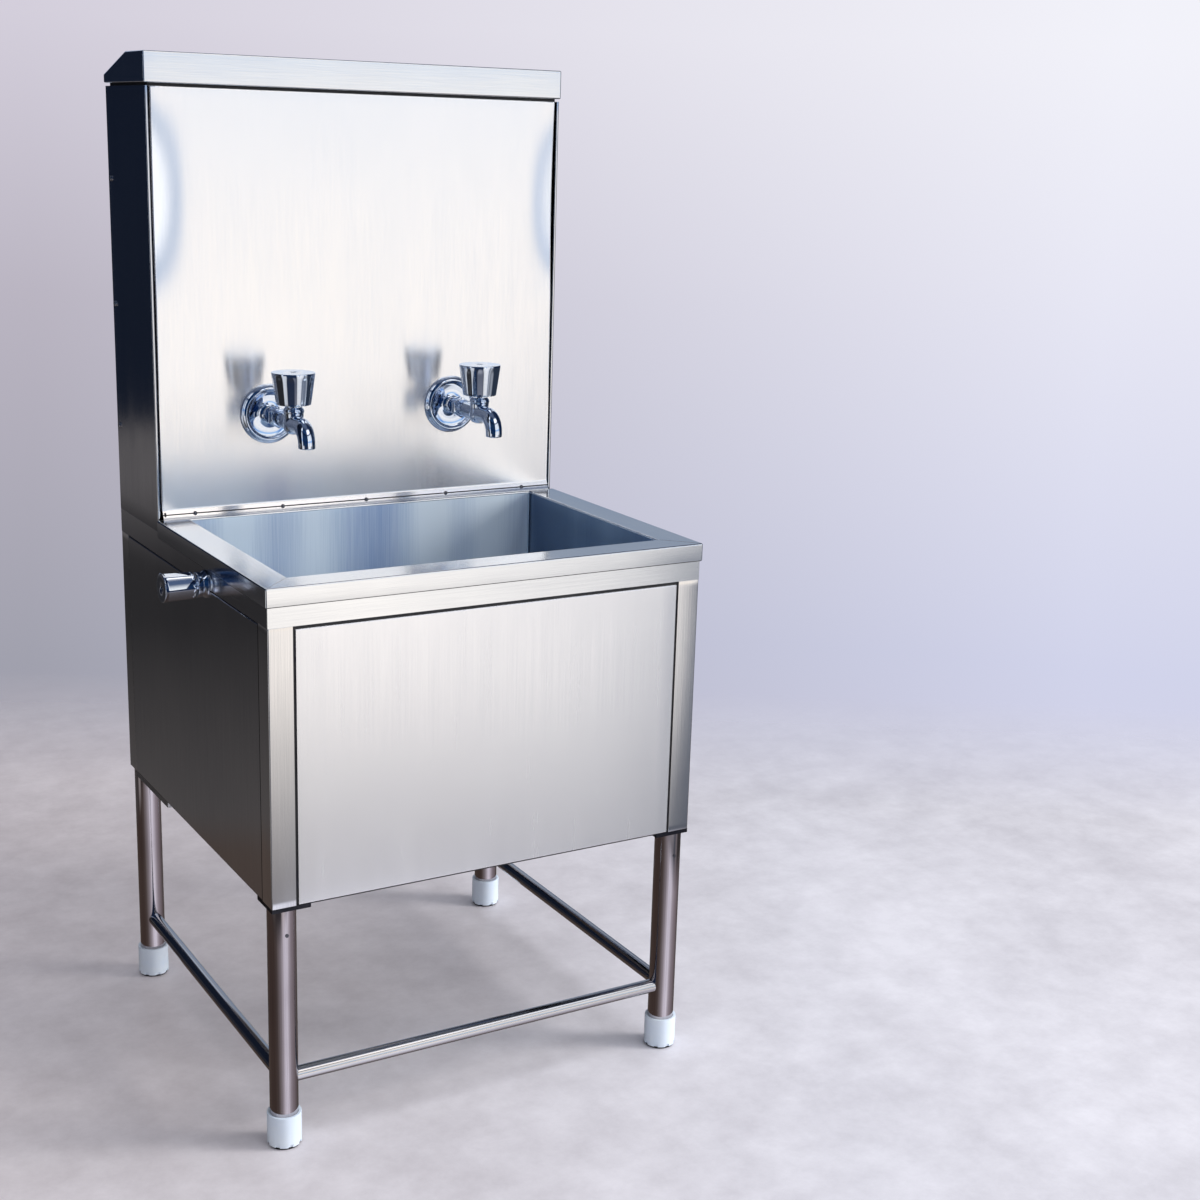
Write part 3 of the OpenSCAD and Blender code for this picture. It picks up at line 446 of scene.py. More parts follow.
# Places taken from the frame
rimLow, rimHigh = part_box("sink_rim")
bowlLow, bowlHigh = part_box("sink_bowl")
panelLow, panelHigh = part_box("front_panel")
splashLow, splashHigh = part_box("splash_front_panel")
wallLow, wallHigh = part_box("splash_side_left")
farLow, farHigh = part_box("splash_side_right")
capLow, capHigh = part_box("splash_cap")
postLow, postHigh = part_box("corner_posts")
midX = (postLow.x + postHigh.x) / 2
sheetT = 1.2 * mm
rimT = 1.5 * mm
neckRadius = 8.3 * mm  # the stopcock's neck, where it passes the side panel


# Sink rim: a mitred frame, folded down outside, rounded into the basin and turned up at the rear
cove = {"depth": 6 * mm, "rise": 13 * mm, "lap": 6.5 * mm}
cove["share"] = cove["lap"] / cove["rise"]
rim = {
    "fold": 2.2 * mm, "lip": 3.0 * mm, "drop": rimHigh.z - rimLow.z, "rear": splashLow.y,
    "beadRadius": 0.9 * mm, "beadInset": 1.6 * mm, "weldRadius": 0.5 * mm,
}


def rimCorners():
    outer = [(rimLow.x, rimLow.y), (rimHigh.x, rimLow.y), (rimHigh.x, rim["rear"]), (rimLow.x, rim["rear"])]
    insideLow = (bowlLow.x + rimT, bowlLow.y + rimT)
    insideHigh = (bowlHigh.x - rimT, bowlHigh.y - rimT)
    inner = [insideLow, (insideHigh[0], insideLow[1]), insideHigh, (insideLow[0], insideHigh[1])]
    return outer, inner


def makeRim():
    outer, inner = rimCorners()
    bm = bmesh.new()
    outerVerts = [bm.verts.new((x, y, rimHigh.z)) for x, y in outer]
    innerVerts = [bm.verts.new((x, y, rimHigh.z)) for x, y in inner]
    for k in range(4):
        after = (k + 1) % 4
        strip = bm.faces.new((outerVerts[k], outerVerts[after], innerVerts[after], innerVerts[k]))
        strip.material_index = k % 2
    foldEdges = [e for e in bm.edges if all(v in outerVerts for v in e.verts)
                 and not all(abs(v.co.y - rim["rear"]) < 1e-6 for v in e.verts)]
    lipEdges = [e for e in bm.edges if all(v in innerVerts for v in e.verts)]
    drawEdges(bm, foldEdges, (0, 0, -rim["drop"]))
    drawEdges(bm, lipEdges, (0, 0, -rim["lip"]))
    bm.normal_update()
    for face in bm.faces:
        if abs(face.normal.z) < 0.7:
            face.material_index = 0 if abs(face.normal.y) > 0.5 else 1
    roundFolds(bm, rim["fold"], 4)
    faceAwayFrom(bm, ((rimLow.x + rimHigh.x) / 2, (rimLow.y + rimHigh.y) / 2, rimLow.z - 1))
    piece = toObject(bm, "rim_folded", ["rimSteelX", "rimSteelY"], "station", "sink_rim")
    thicken(piece, rimT)


def makeUpstand():
    # the rear edge of the rim, turned up along the slope of the cove
    rear, top = rim["rear"], rimHigh.z
    climb = cove["share"] + 0.1
    outline = [(rear - 1.5 * mm, top - 1.2 * mm), (rear - 0.2 * mm, top),
               (rear + cove["depth"] * climb, top + cove["rise"] * climb)]
    bm = foldedSheet(outline, "X", splashLow.x, splashHigh.x, 0.4 * mm)
    faceAwayFrom(bm, (0, rear + 1, top))
    thicken(toObject(bm, "rim_upstand", "rimSteelX", "station", "sink_rim"), 1.0 * mm)


def makeRimTrim():
    # painted shade: a dark round strip in the gap between the fold and the rails stands for the shadow line
    # there
    bead, inset = rim["beadRadius"], rim["beadInset"]
    left, right, front = rimLow.x + inset, rimHigh.x - inset, rimLow.y + inset
    level = rimLow.z - 0.5 * mm
    bm = rod(bead, (left, front, level), (right, front, level), 10)
    for x in (left, right):
        joinInto(bm, rod(bead, (x, front, level), (x, rim["rear"], level), 10))
    toObject(bm, "rim_shade_line", "blackRubber", "station")
    # fine mitre welds, ground almost flush
    fine = rim["weldRadius"]
    level = rimHigh.z - fine * 0.6
    bm = bmesh.new()
    for (x, y), (innerX, innerY) in zip(*rimCorners()):
        short = Vector((innerX - x, innerY - y, 0)).normalized() * rim["fold"]
        joinInto(bm, rod(fine, Vector((x, y, level)) + short, Vector((innerX, innerY, level)) - short, 12))
    toObject(bm, "rim_mitre_welds", "weldSteel", "station")


# Basin: walls, rounded corners and a floor that falls to the waste
basin = {
    "corner": 2.5 * mm, "floorRadius": 9 * mm, "fall": 5 * mm, "fallReach": 0.2, "lip": 3.0 * mm,
    "drainRadius": 23 * mm, "weldRadius": 1.8 * mm,
}
basinLow = Vector((bowlLow.x + rimT, bowlLow.y + rimT, bowlLow.z + rimT))
basinHigh = Vector((bowlHigh.x - rimT, bowlHigh.y - rimT, rimHigh.z - basin["lip"]))


def makeBasin():
    low, high = basinLow, basinHigh
    drain = centreOf("waste_strainer")
    drain.z = low.z
    bm = bmesh.new()
    place = Matrix.Translation((low + high) / 2) @ Matrix.Diagonal((*(high - low), 1))
    bmesh.ops.create_cube(bm, size=1, matrix=place)
    top = [f for f in bm.faces if f.calc_center_median().z > high.z - 1e-6]
    bmesh.ops.delete(bm, geom=top, context="FACES_ONLY")
    upright = [e for e in bm.edges if abs(e.verts[0].co.z - e.verts[1].co.z) > 0.1]
    roundEdges(bm, upright, basin["corner"], 3)
    foot = [e for e in bm.edges if len(e.link_faces) == 2 and all(v.co.z < low.z + 1e-6 for v in e.verts)]
    roundEdges(bm, foot, basin["floorRadius"], 4)
    floorFaces = [f for f in bm.faces if all(v.co.z < low.z + 1e-6 for v in f.verts)]
    bmesh.ops.delete(bm, geom=floorFaces, context="FACES_ONLY")
    border = [e for e in bm.edges if len(e.link_faces) == 1 and all(v.co.z < low.z + 1e-6 for v in e.verts)]
    hole = bmesh.ops.create_circle(bm, cap_ends=False, segments=32, radius=basin["drainRadius"],
                                   matrix=Matrix.Translation(drain))["verts"]
    around = [e for e in bm.edges if all(v in hole for v in e.verts)]
    bmesh.ops.triangle_fill(bm, use_beauty=True, edges=border + around)
    bm.faces.ensure_lookup_table()
    for vert in bm.verts:
        if vert.co.z < low.z + basin["floorRadius"] * 1.1:
            away = Vector((vert.co.x - drain.x, vert.co.y - drain.y)).length - basin["drainRadius"]
            vert.co.z += basin["fall"] * max(0, min(away / basin["fallReach"], 1))
    slices(bm, "Z", low.z + 0.03, high.z, 10)
    bmesh.ops.recalc_face_normals(bm, faces=bm.faces[:])
    rearWall = max(bm.faces, key=lambda f: f.calc_center_median().y)
    if rearWall.normal.y > 0:
        bmesh.ops.reverse_faces(bm, faces=bm.faces[:])
    # the walls that face sideways take the darker copy of the steel, painted shade
    for face in bm.faces:
        face.material_index = 1 if abs(face.normal.x) > 0.5 else 0
    piece = toObject(bm, "basin", ["bowlPaintedSkySteel", "bowlWallPaintedShade"], "station", "sink_bowl",
                     sharpAngle=30)
    thicken(piece, rimT - 0.1 * mm)


def makeBasinWelds():
    weld = basin["weldRadius"]
    foot = basinLow.z + basin["floorRadius"]
    top = basinHigh.z - 1 * mm
    bm = bmesh.new()
    for x in (basinLow.x + weld, basinHigh.x - weld):
        for y in (basinLow.y + weld, basinHigh.y - weld):
            joinInto(bm, rod(weld, (x, y, foot), (x, y, top), 20))
    toObject(bm, "basin_corner_welds", "rimSteelY", "station")


makeRim()
makeUpstand()
makeRimTrim()
makeBasin()
makeBasinWelds()
print("rim and basin made")


# Slight waves that sheet metal keeps after folding
def rumple(bm, axis, level, depth, scale, seed):
    # moves the vertices that lie on one plane along the plane's normal, and fades out at its edges
    normal = "XYZ".index(axis)
    flat = [v for v in bm.verts if abs(v.co[normal] - level) < 0.1 * mm]
    lows = [min(v.co[k] for v in flat) for k in range(3)]
    highs = [max(v.co[k] for v in flat) for k in range(3)]
    others = [k for k in range(3) if k != normal]
    for vert in flat:
        fade = 1.0
        for k in others:
            edge = min(vert.co[k] - lows[k], highs[k] - vert.co[k]) / (highs[k] - lows[k])
            fade *= min(edge * 5, 1)
        wave = noise.noise(Vector(vert.co) * scale + Vector((seed, seed, seed)))
        vert.co[normal] += depth * wave * fade


# Front panel of the rear housing: folds on three sides, a cove along the foot
splash = {
    "fold": 15 * mm, "radius": 2.0 * mm, "waves": 0.55 * mm, "curl": 4.0 * mm, "curlReach": 0.055,
    "curlStart": 0.5, "curlEnd": 0.995, "holeRadius": 10.8 * mm, "shadeLineRadius": 0.8 * mm,
    "front": splashLow.y + cove["depth"], "foot": splashLow.z + cove["rise"], "top": splashHigh.z,
    "lapZ": splashLow.z + cove["lap"],
}
splash["lapY"] = splash["front"] - cove["depth"] * (1 - cove["share"]) - 0.8 * mm


def curlSides(bm):
    # the upper half of each side edge bows back a little
    front, foot, top = splash["front"], splash["foot"], splash["top"]
    for vert in bm.verts:
        if abs(vert.co.y - front) < 2 * mm and vert.co.z > foot + 4 * mm:
            aside = min(vert.co.x - splashLow.x, splashHigh.x - vert.co.x) / splash["curlReach"]
            up = (vert.co.z - foot) / (top - foot)
            if aside < 1 and splash["curlStart"] < up < splash["curlEnd"]:
                bow = math.sin(math.pi * (up - splash["curlStart"]) / (1 - splash["curlStart"]))
                vert.co.y += splash["curl"] * bow * (1 - aside) ** 2


def makeSplashPanel():
    front, foot, top = splash["front"], splash["foot"], splash["top"]
    bm = bmesh.new()
    outline = [(front + splash["fold"], top), (front, top), (front, foot), (splash["lapY"], splash["lapZ"])]
    verts = [bm.verts.new((splashLow.x, y, z)) for y, z in outline]
    edges = [bm.edges.new(pair) for pair in zip(verts, verts[1:])]
    drawEdges(bm, edges, (splashHigh.x - splashLow.x, 0, 0))
    sides = [e for e in bm.edges if e.is_boundary and abs(e.verts[0].co.x - e.verts[1].co.x) < 1e-6
             and all(abs(v.co.y - front) < 1e-6 for v in e.verts)]
    drawEdges(bm, sides, (0, splash["fold"], 0))
    roundFolds(bm, splash["radius"], 4)
    slices(bm, "X", splashLow.x, splashHigh.x, 40)
    slices(bm, "Z", foot, top, 36)
    rumple(bm, "Y", front, splash["waves"], 3.2, 7.0)
    curlSides(bm)
    faceAwayFrom(bm, (midX, front + 1, (top + foot) / 2))
    piece = toObject(bm, "splash_panel", "splashSteel", "station", "splash_front_panel")
    thicken(piece, sheetT)
    for nodeName in ("tap_flange_left", "tap_flange_right"):
        x, _, z = centreOf(nodeName)
        cutWith(piece, rod(splash["holeRadius"], (x, front - 0.02, z), (x, front + 0.01, z)))


def makeCoveShadeLine():
    # painted shade: a black rod along the lap of the cove, with a thicker end at the left, stands for the
    # shadow line at the lap
    y, z, shadeLineRadius = splash["lapY"], splash["lapZ"], splash["shadeLineRadius"]
    shadeLineY = y + shadeLineRadius / 2
    endX = splashLow.x + 3 * mm
    seam = rod(shadeLineRadius, (splashLow.x, shadeLineY, z), (splashHigh.x, shadeLineY, z), 12)
    joinInto(seam, rod(shadeLineRadius * 2, (endX, y, z - 2 * mm), (endX, y + 2 * mm, z + 3 * mm), 12))
    toObject(seam, "cove_shade_line", "blackRubber", "station")


def makeHousingWalls():
    wall = {"return": 4 * mm, "radius": 1.6 * mm, "waves": 0.7 * mm}
    for side, low, high, nodeName in ((-1, wallLow, wallHigh, "splash_side_left"),
                                      (1, farLow, farHigh, "splash_side_right")):
        outer = low.x if side < 0 else high.x
        outline = [(outer - side * wall["return"], low.y), (outer, low.y), (outer, high.y)]
        bm = foldedSheet(outline, "Z", low.z, high.z, wall["radius"])
        slices(bm, "Z", low.z, high.z, 24)
        slices(bm, "Y", low.y, high.y, 10)
        rumple(bm, "X", outer, wall["waves"], 5.0, 3.0 + side)
        faceAwayFrom(bm, (midX, high.y, (low.z + high.z) / 2))
        piece = toObject(bm, nodeName + "_sheet", "sideSteel", "station", nodeName)
        thicken(piece, sheetT)


def makeCap():
    cap = {"flat": 80 * mm, "rear": 12 * mm, "ledge": 17 * mm, "radius": 2.2 * mm, "waves": 0.35 * mm}
    knee = capLow.y + cap["flat"]
    outline = [(capLow.y, capLow.z), (capLow.y, capHigh.z), (knee, capHigh.z),
               (capHigh.y, capLow.z + cap["rear"]), (capHigh.y, capLow.z)]
    bm = bmesh.new()
    verts = [bm.verts.new((capLow.x, y, z)) for y, z in outline]
    face = bm.faces.new(verts)
    drawFaces(bm, [face], (capHigh.x - capLow.x, 0, 0))
    bmesh.ops.recalc_face_normals(bm, faces=bm.faces[:])
    under = [f for f in bm.faces if f.normal.z < -0.9]
    bmesh.ops.inset_region(bm, faces=under, thickness=cap["ledge"], use_boundary=True)
    middle = max((f for f in bm.faces if f.normal.z < -0.9), key=lambda f: f.calc_area())
    bmesh.ops.delete(bm, geom=[middle], context="FACES_ONLY")
    roundFolds(bm, cap["radius"], 4)
    slices(bm, "X", capLow.x, capHigh.x, 32)
    rumple(bm, "Y", capLow.y, cap["waves"], 6.0, 11.0)
    rumple(bm, "Z", capHigh.z, cap["waves"], 5.0, 19.0)
    bm.normal_update()
    piece = toObject(bm, "cap_hood", "rimSteelX", "station", "splash_cap")
    thicken(piece, sheetT)


makeSplashPanel()
makeCoveShadeLine()
makeHousingWalls()
makeCap()
print("rear housing made")


# Cabinet sheets
def makePosts():
    post = {"flange": 33 * mm, "radius": 1.8 * mm, "waves": 0.3 * mm}
    for sideX in (-1, 1):
        for sideY in (-1, 1):
            x = postHigh.x if sideX > 0 else postLow.x
            y = postHigh.y if sideY > 0 else postLow.y
            outline = [(x - sideX * post["flange"], y), (x, y), (x, y - sideY * post["flange"])]
            bm = foldedSheet(outline, "Z", postLow.z, postHigh.z, post["radius"])
            slices(bm, "Z", postLow.z, postHigh.z, 40)
            rumple(bm, "Y", y, post["waves"], 11.0, 31.0 + x)
            rumple(bm, "X", x, post["waves"], 11.0, 41.0 + y)
            faceAwayFrom(bm, (midX, 0, (postLow.z + postHigh.z) / 2))
            name = "post_%s_%s" % ("front" if sideY < 0 else "rear", "left" if sideX < 0 else "right")
            piece = toObject(bm, name, "postSteel", "station", "corner_posts")
            thicken(piece, sheetT)


def makeGapShade(name, low, high, axis, back, over):
    # painted shade: a black strip behind the gaps round a panel keeps them dark, and it reaches past its top
    # by what over says
    wide, foot, wall = 6 * mm, low.z - 1.4 * mm, 1 * mm
    start, end = (low.x, high.x) if axis == "X" else (low.y, high.y)
    strips = [((start - wide, low.z), (start + wide, high.z - wide)),
              ((end - wide, low.z), (end + wide, high.z - wide)),
              ((start + wide, foot), (end - wide, low.z + wide)),
              ((start - wide, high.z - wide), (end + wide, high.z + over))]
    bm = bmesh.new()
    for (a0, z0), (a1, z1) in strips:
        run, tall = a1 - a0, z1 - z0
        middle, height = (a0 + a1) / 2, (z0 + z1) / 2
        centre = (middle, back, height) if axis == "X" else (back, middle, height)
        size = (run, wall, tall, 1) if axis == "X" else (wall, run, tall, 1)
        bmesh.ops.create_cube(bm, size=1, matrix=Matrix.Translation(centre) @ Matrix.Diagonal(size))
    toObject(bm, name, "blackRubber", "station")


def makeFrontPanel():
    panel = {"hem": 8 * mm, "radius": 1.8 * mm, "waves": 0.5 * mm}
    outline = [(panelLow.y + panel["hem"], panelHigh.z), (panelLow.y, panelHigh.z),
               (panelLow.y, panelLow.z), (panelLow.y + panel["hem"], panelLow.z)]
    bm = foldedSheet(outline, "X", panelLow.x, panelHigh.x, panel["radius"])
    slices(bm, "X", panelLow.x, panelHigh.x, 24)
    slices(bm, "Z", panelLow.z, panelHigh.z, 18)
    rumple(bm, "Y", panelLow.y, panel["waves"], 4.0, 5.0)
    faceAwayFrom(bm, (midX, panelLow.y + 0.2, (panelLow.z + panelHigh.z) / 2))
    piece = toObject(bm, "front_panel_sheet", "frontSteel", "station", "front_panel")
    thicken(piece, sheetT)
    makeGapShade("panel_gap_shade_front", panelLow, panelHigh, "X", panelLow.y + 2 * mm, over=6 * mm)


def makeSidePanels():
    panel = {"hem": 8 * mm, "radius": 1.5 * mm, "waves": 0.9 * mm}
    for side, nodeName in ((-1, "side_panel_left"), (1, "side_panel_right")):
        low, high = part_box(nodeName)
        outer = low.x if side < 0 else high.x
        outline = [(outer - side * panel["hem"], high.z), (outer, high.z), (outer, low.z),
                   (outer - side * panel["hem"], low.z)]
        bm = foldedSheet(outline, "Y", low.y, high.y, panel["radius"])
        slices(bm, "Y", low.y, high.y, 22)
        slices(bm, "Z", low.z, high.z, 16)
        rumple(bm, "X", outer, panel["waves"], 4.5, 23.0 + side)
        faceAwayFrom(bm, (outer - side * 0.2, (low.y + high.y) / 2, (low.z + high.z) / 2))
        piece = toObject(bm, nodeName + "_sheet", "sideSteel", "station", nodeName)
        thicken(piece, sheetT)
        if side < 0:
            _, y, z = centreOf("stopcock_flange")
            cutWith(piece, rod(neckRadius, (outer - 0.01, y, z), (outer + 0.03, y, z)))
        # the black strip behind the side panel's gaps paints their shade
        makeGapShade(nodeName + "_seal", low, high, "Y", outer - side * 2 * mm, over=2 * mm)


makePosts()
makeFrontPanel()
makeSidePanels()
for nodeName, material in (("rail_front", "rimSteelX"), ("rail_rear", "rimSteelX"),
                           ("rail_left", "sideSteel"), ("rail_right", "sideSteel")):
    softCopy(nodeName, material, "station", 0.35 * mm)
print("cabinet sheets made")


# Legs, feet, stretchers and their welds
legParts = {
    "steps": 64, "endRadius": 0.8 * mm,
    "beadRadius": 2.4 * mm, "beadRipple": 0.25 * mm, "ripples": 14,
}
legNames = ("leg_front_left", "leg_front_right", "leg_rear_left", "leg_rear_right")


def makeLegs():
    for nodeName in legNames:
        low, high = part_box(nodeName)
        centre = (low + high) / 2
        radius = (high.x - low.x) / 2
        bm = rod(radius, (centre.x, centre.y, low.z), (centre.x, centre.y, high.z), legParts["steps"])
        ends = [e for e in bm.edges if abs(e.verts[0].co.z - e.verts[1].co.z) < 1e-6]
        roundEdges(bm, ends, legParts["endRadius"], 2)
        toObject(bm, nodeName + "_tube", "legSteel", "station", nodeName)


def weldBead(centre, along, barRadius, legRadius, seed):
    # a ripple ring that follows the round of the leg where a bar meets it
    bm = bmesh.new()
    bead = legParts["beadRadius"]
    start = Vector(centre)
    direction = Vector(along).normalized()
    up = Vector((0, 0, 1))
    sides = 10
    turns = [2 * math.pi * k / sides for k in range(sides)]
    ring = [bm.verts.new(start + up * (barRadius + bead * 0.15 + bead * math.cos(turn))
                         + direction * bead * math.sin(turn)) for turn in turns]
    edges = [bm.edges.new((ring[k], ring[(k + 1) % sides])) for k in range(sides)]
    bmesh.ops.spin(bm, geom=ring + edges, cent=start, axis=direction, angle=2 * math.pi, steps=48,
                   use_merge=True, dvec=(0, 0, 0))
    bmesh.ops.remove_doubles(bm, verts=bm.verts[:], dist=1e-6)
    sideways = direction.cross(up)
    for vert in bm.verts:
        offset = vert.co - start
        aside = offset.dot(sideways)
        sag = legRadius - math.sqrt(max(legRadius ** 2 - aside ** 2, 0))
        angle = math.atan2(offset.dot(up), aside)
        ripple = legParts["beadRipple"] * math.sin(angle * legParts["ripples"] + seed)
        vert.co += offset.normalized() * ripple - direction * sag
    bmesh.ops.recalc_face_normals(bm, faces=bm.faces[:])
    return bm


def makeStretchers():
    legLow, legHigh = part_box("leg_front_left")
    legRadius = (legHigh.x - legLow.x) / 2
    for nodeName, material in (("stretcher_front", "barSteelX"), ("stretcher_left", "barSteelY"),
                               ("stretcher_right", "barSteelY")):
        low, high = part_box(nodeName)
        centre = (low + high) / 2
        radius = (high.z - low.z) / 2
        softCopy(nodeName, material, "station")
        alongX = nodeName == "stretcher_front"
        direction = Vector((1, 0, 0)) if alongX else Vector((0, 1, 0))
        half = (high - low).dot(direction) / 2
        beads = bmesh.new()
        for end in (-1, 1):
            meets = centre + direction * end * half
            joinInto(beads, weldBead(meets, direction * -end, radius, legRadius, end))
        toObject(beads, nodeName + "_welds", "weldSteel", "station")


makeLegs()
makeStretchers()
softCopy("foot_caps", "footPlastic", "station", 0.7 * mm)
# the leg plates take the near black steel that paints their shade
softCopy("leg_plates", "darkSteel", "station", 0.5 * mm)
softCopy("leg_set_screws", "rivetSteel", "station", 0.2 * mm)
print("legs and feet made")


# Taps
tapLook = {
    "shank": 10.5 * mm, "hexGap": 25 * mm, "hexLength": 15 * mm, "hexRadius": 15.8 * mm, "hexEdge": 0.8 * mm,
    "barrel": 12.5 * mm, "boss": 15 * mm, "bend": 22 * mm, "spoutTaper": 0.06, "boreRadius": 9.5 * mm,
    "boreDepth": 14 * mm, "steps": 96, "voxel": 0.8 * mm, "easing": 10,
}


def tapPlaces(side):
    bodyLow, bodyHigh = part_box("tap_body_" + side)
    knobLow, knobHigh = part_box("tap_knob_" + side)
    flangeLow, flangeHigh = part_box("tap_flange_" + side)
    hexBack = flangeHigh.y - tapLook["hexGap"]
    return {
        "x": (knobLow.x + knobHigh.x) / 2, "valveY": (knobLow.y + knobHigh.y) / 2,
        "z": (flangeLow.z + flangeHigh.z) / 2, "wallY": flangeHigh.y, "rearY": bodyHigh.y,
        "hexBack": hexBack, "hexFront": hexBack - tapLook["hexLength"],
        "bendY": bodyLow.y + tapLook["barrel"] + tapLook["bend"], "mouthY": bodyLow.y + tapLook["barrel"],
        "knobLow": knobLow.z, "knobHigh": knobHigh.z, "knobTop": (knobHigh.y - knobLow.y) / 2,
        "flangeRadius": (flangeHigh.z - flangeLow.z) / 2, "mouthZ": bodyLow.z, "bossTop": bodyHigh.z,
    }


def makeFlange(side, spot):
    wide = spot["flangeRadius"]
    hole = tapLook["shank"] + 0.3 * mm
    profile = [(wide - 3 * mm, 0), (wide - 0.5 * mm, 0.1 * mm), (wide, 1.2 * mm), (wide - 0.5 * mm, 2.8 * mm),
               (wide - 2.0 * mm, 5.4 * mm), (wide - 4.0 * mm, 7.8 * mm), (wide - 5.2 * mm, 8.7 * mm),
               (wide - 6.4 * mm, 9.0 * mm), (wide - 7.6 * mm, 8.4 * mm), (wide - 8.6 * mm, 6.6 * mm),
               (wide - 9.8 * mm, 4.9 * mm), (wide - 12 * mm, 4.0 * mm), (wide - 20 * mm, 3.6 * mm),
               (hole + 4 * mm, 3.6 * mm), (hole + 2.0 * mm, 4.6 * mm), (hole + 0.6 * mm, 6 * mm),
               (hole, 5.6 * mm), (hole, 0.2 * mm), (wide - 3 * mm, 0)]
    bm = lathe(profile, (spot["x"], spot["wallY"], spot["z"]), (0, -1, 0), tapLook["steps"])
    toObject(bm, "tap_flange_" + side + "_dish", "chromePlate", "station", "tap_flange_" + side,
             sharpAngle=60)


def fuse(piece):
    # melts the joined forms of a casting into one skin
    melt = piece.modifiers.new("melt", "REMESH")
    melt.mode = "VOXEL"
    melt.voxel_size = tapLook["voxel"]
    melt.use_smooth_shade = True
    soften = piece.modifiers.new("soften", "SMOOTH")
    soften.factor = 0.5
    soften.iterations = tapLook["easing"]
    settle(piece)
    piece.data.shade_smooth()


def makeTapTail(side, spot):
    x, z, hexBack, length = spot["x"], spot["z"], spot["hexBack"], tapLook["hexLength"]
    bm = rod(tapLook["shank"], (x, hexBack, z), (x, spot["rearY"], z))
    hexagon = bmesh.new()
    place = Matrix.Translation((x, hexBack - length / 2, z)) @ Matrix.Rotation(math.radians(90), 4, "X")
    bmesh.ops.create_cone(hexagon, cap_ends=True, segments=6, radius1=tapLook["hexRadius"],
                          radius2=tapLook["hexRadius"], depth=length, matrix=place)
    roundEdges(hexagon, hexagon.edges[:], tapLook["hexEdge"], 2)
    joinInto(bm, hexagon)
    collar = [(9 * mm, 0), (12.6 * mm, 0), (13.2 * mm, 1.2 * mm), (12.6 * mm, 3.4 * mm), (9 * mm, 3.4 * mm),
              (9 * mm, 0)]
    joinInto(bm, lathe(collar, (x, hexBack + 9 * mm, z), (0, -1, 0), 40))
    toObject(bm, "tap_tail_" + side, "chromePlate", "station", "tap_body_" + side)


def tapBarrel(spot):
    radius, length = tapLook["barrel"], spot["hexFront"] - spot["valveY"]
    profile = [(0, 0), (radius * 0.72, 0), (radius * 0.93, 1.2 * mm), (radius * 1.02, 4 * mm),
               (radius, 10 * mm), (radius * 0.97, length - 12 * mm), (radius * 1.06, length),
               (radius, length + 16 * mm), (0, length + 16 * mm)]
    return lathe(profile, (spot["x"], spot["hexFront"], spot["z"]), (0, -1, 0), 48)


def tapBoss(spot):
    radius = tapLook["boss"]
    profile = [(0, -15 * mm), (radius * 0.45, -14.6 * mm), (radius * 0.75, -12.6 * mm),
               (radius * 0.92, -9 * mm), (radius * 0.97, -4 * mm), (radius * 0.90, 8 * mm),
               (radius * 0.93, 15 * mm), (radius * 0.99, 18 * mm), (radius * 0.96, 20 * mm), (0, 20 * mm)]
    return lathe(profile, (spot["x"], spot["valveY"], spot["z"]), (0, 0, 1), 48)


def tapSpout(spot):
    # a round drawn forward, turned down and tapered towards its mouth
    x, z, valveY, bend = spot["x"], spot["z"], spot["valveY"], tapLook["bend"]
    bm = bmesh.new()
    place = Matrix.Translation((x, valveY, z)) @ Matrix.Rotation(math.radians(90), 4, "X")
    bmesh.ops.create_circle(bm, cap_ends=True, segments=40, radius=tapLook["barrel"], matrix=place)
    grown = drawFaces(bm, bm.faces[:], (0, spot["bendY"] - valveY, 0))
    tip = next(g for g in grown if isinstance(g, bmesh.types.BMFace))
    spun = bmesh.ops.spin(bm, geom=[tip] + tip.edges[:] + tip.verts[:], cent=(x, spot["bendY"], z - bend),
                          axis=(1, 0, 0), angle=math.radians(90), steps=14, dvec=(0, 0, 0))
    last = [g for g in spun["geom_last"] if isinstance(g, bmesh.types.BMFace)]
    drawFaces(bm, last, (0, 0, spot["mouthZ"] - (z - bend)))
    bmesh.ops.recalc_face_normals(bm, faces=bm.faces[:])
    for vert in bm.verts:
        fall = (z - vert.co.z) / (z - spot["mouthZ"])
        if vert.co.y < spot["bendY"] and fall > 0:
            vert.co.x = x + (vert.co.x - x) * (1 - tapLook["spoutTaper"] * min(fall, 1))
    return bm


def makeTapCasting(side, spot):
    x, mouthY, mouthZ = spot["x"], spot["mouthY"], spot["mouthZ"]
    bm = tapBarrel(spot)
    joinInto(bm, tapBoss(spot))
    joinInto(bm, tapSpout(spot))
    piece = toObject(bm, "tap_casting_" + side, "chromePlate", "station", "tap_body_" + side)
    fuse(piece)
    cutWith(piece, rod(tapLook["boreRadius"], (x, mouthY, mouthZ - 0.01),
                       (x, mouthY, mouthZ + tapLook["boreDepth"])))
    piece.data.shade_smooth()
    piece.data.set_sharp_from_angle(angle=math.radians(50))
    ring = [(8.2 * mm, 0.8 * mm), (9.4 * mm, 0.8 * mm), (9.4 * mm, 8 * mm), (8.2 * mm, 8 * mm),
            (8.2 * mm, 0.8 * mm)]
    toObject(lathe(ring, (x, mouthY, mouthZ), (0, 0, 1), 40), "tap_mouth_ring_" + side, "blackRubber",
             "station")


def ease(value):
    value = max(0.0, min(value, 1.0))
    return value * value * (3 - 2 * value)


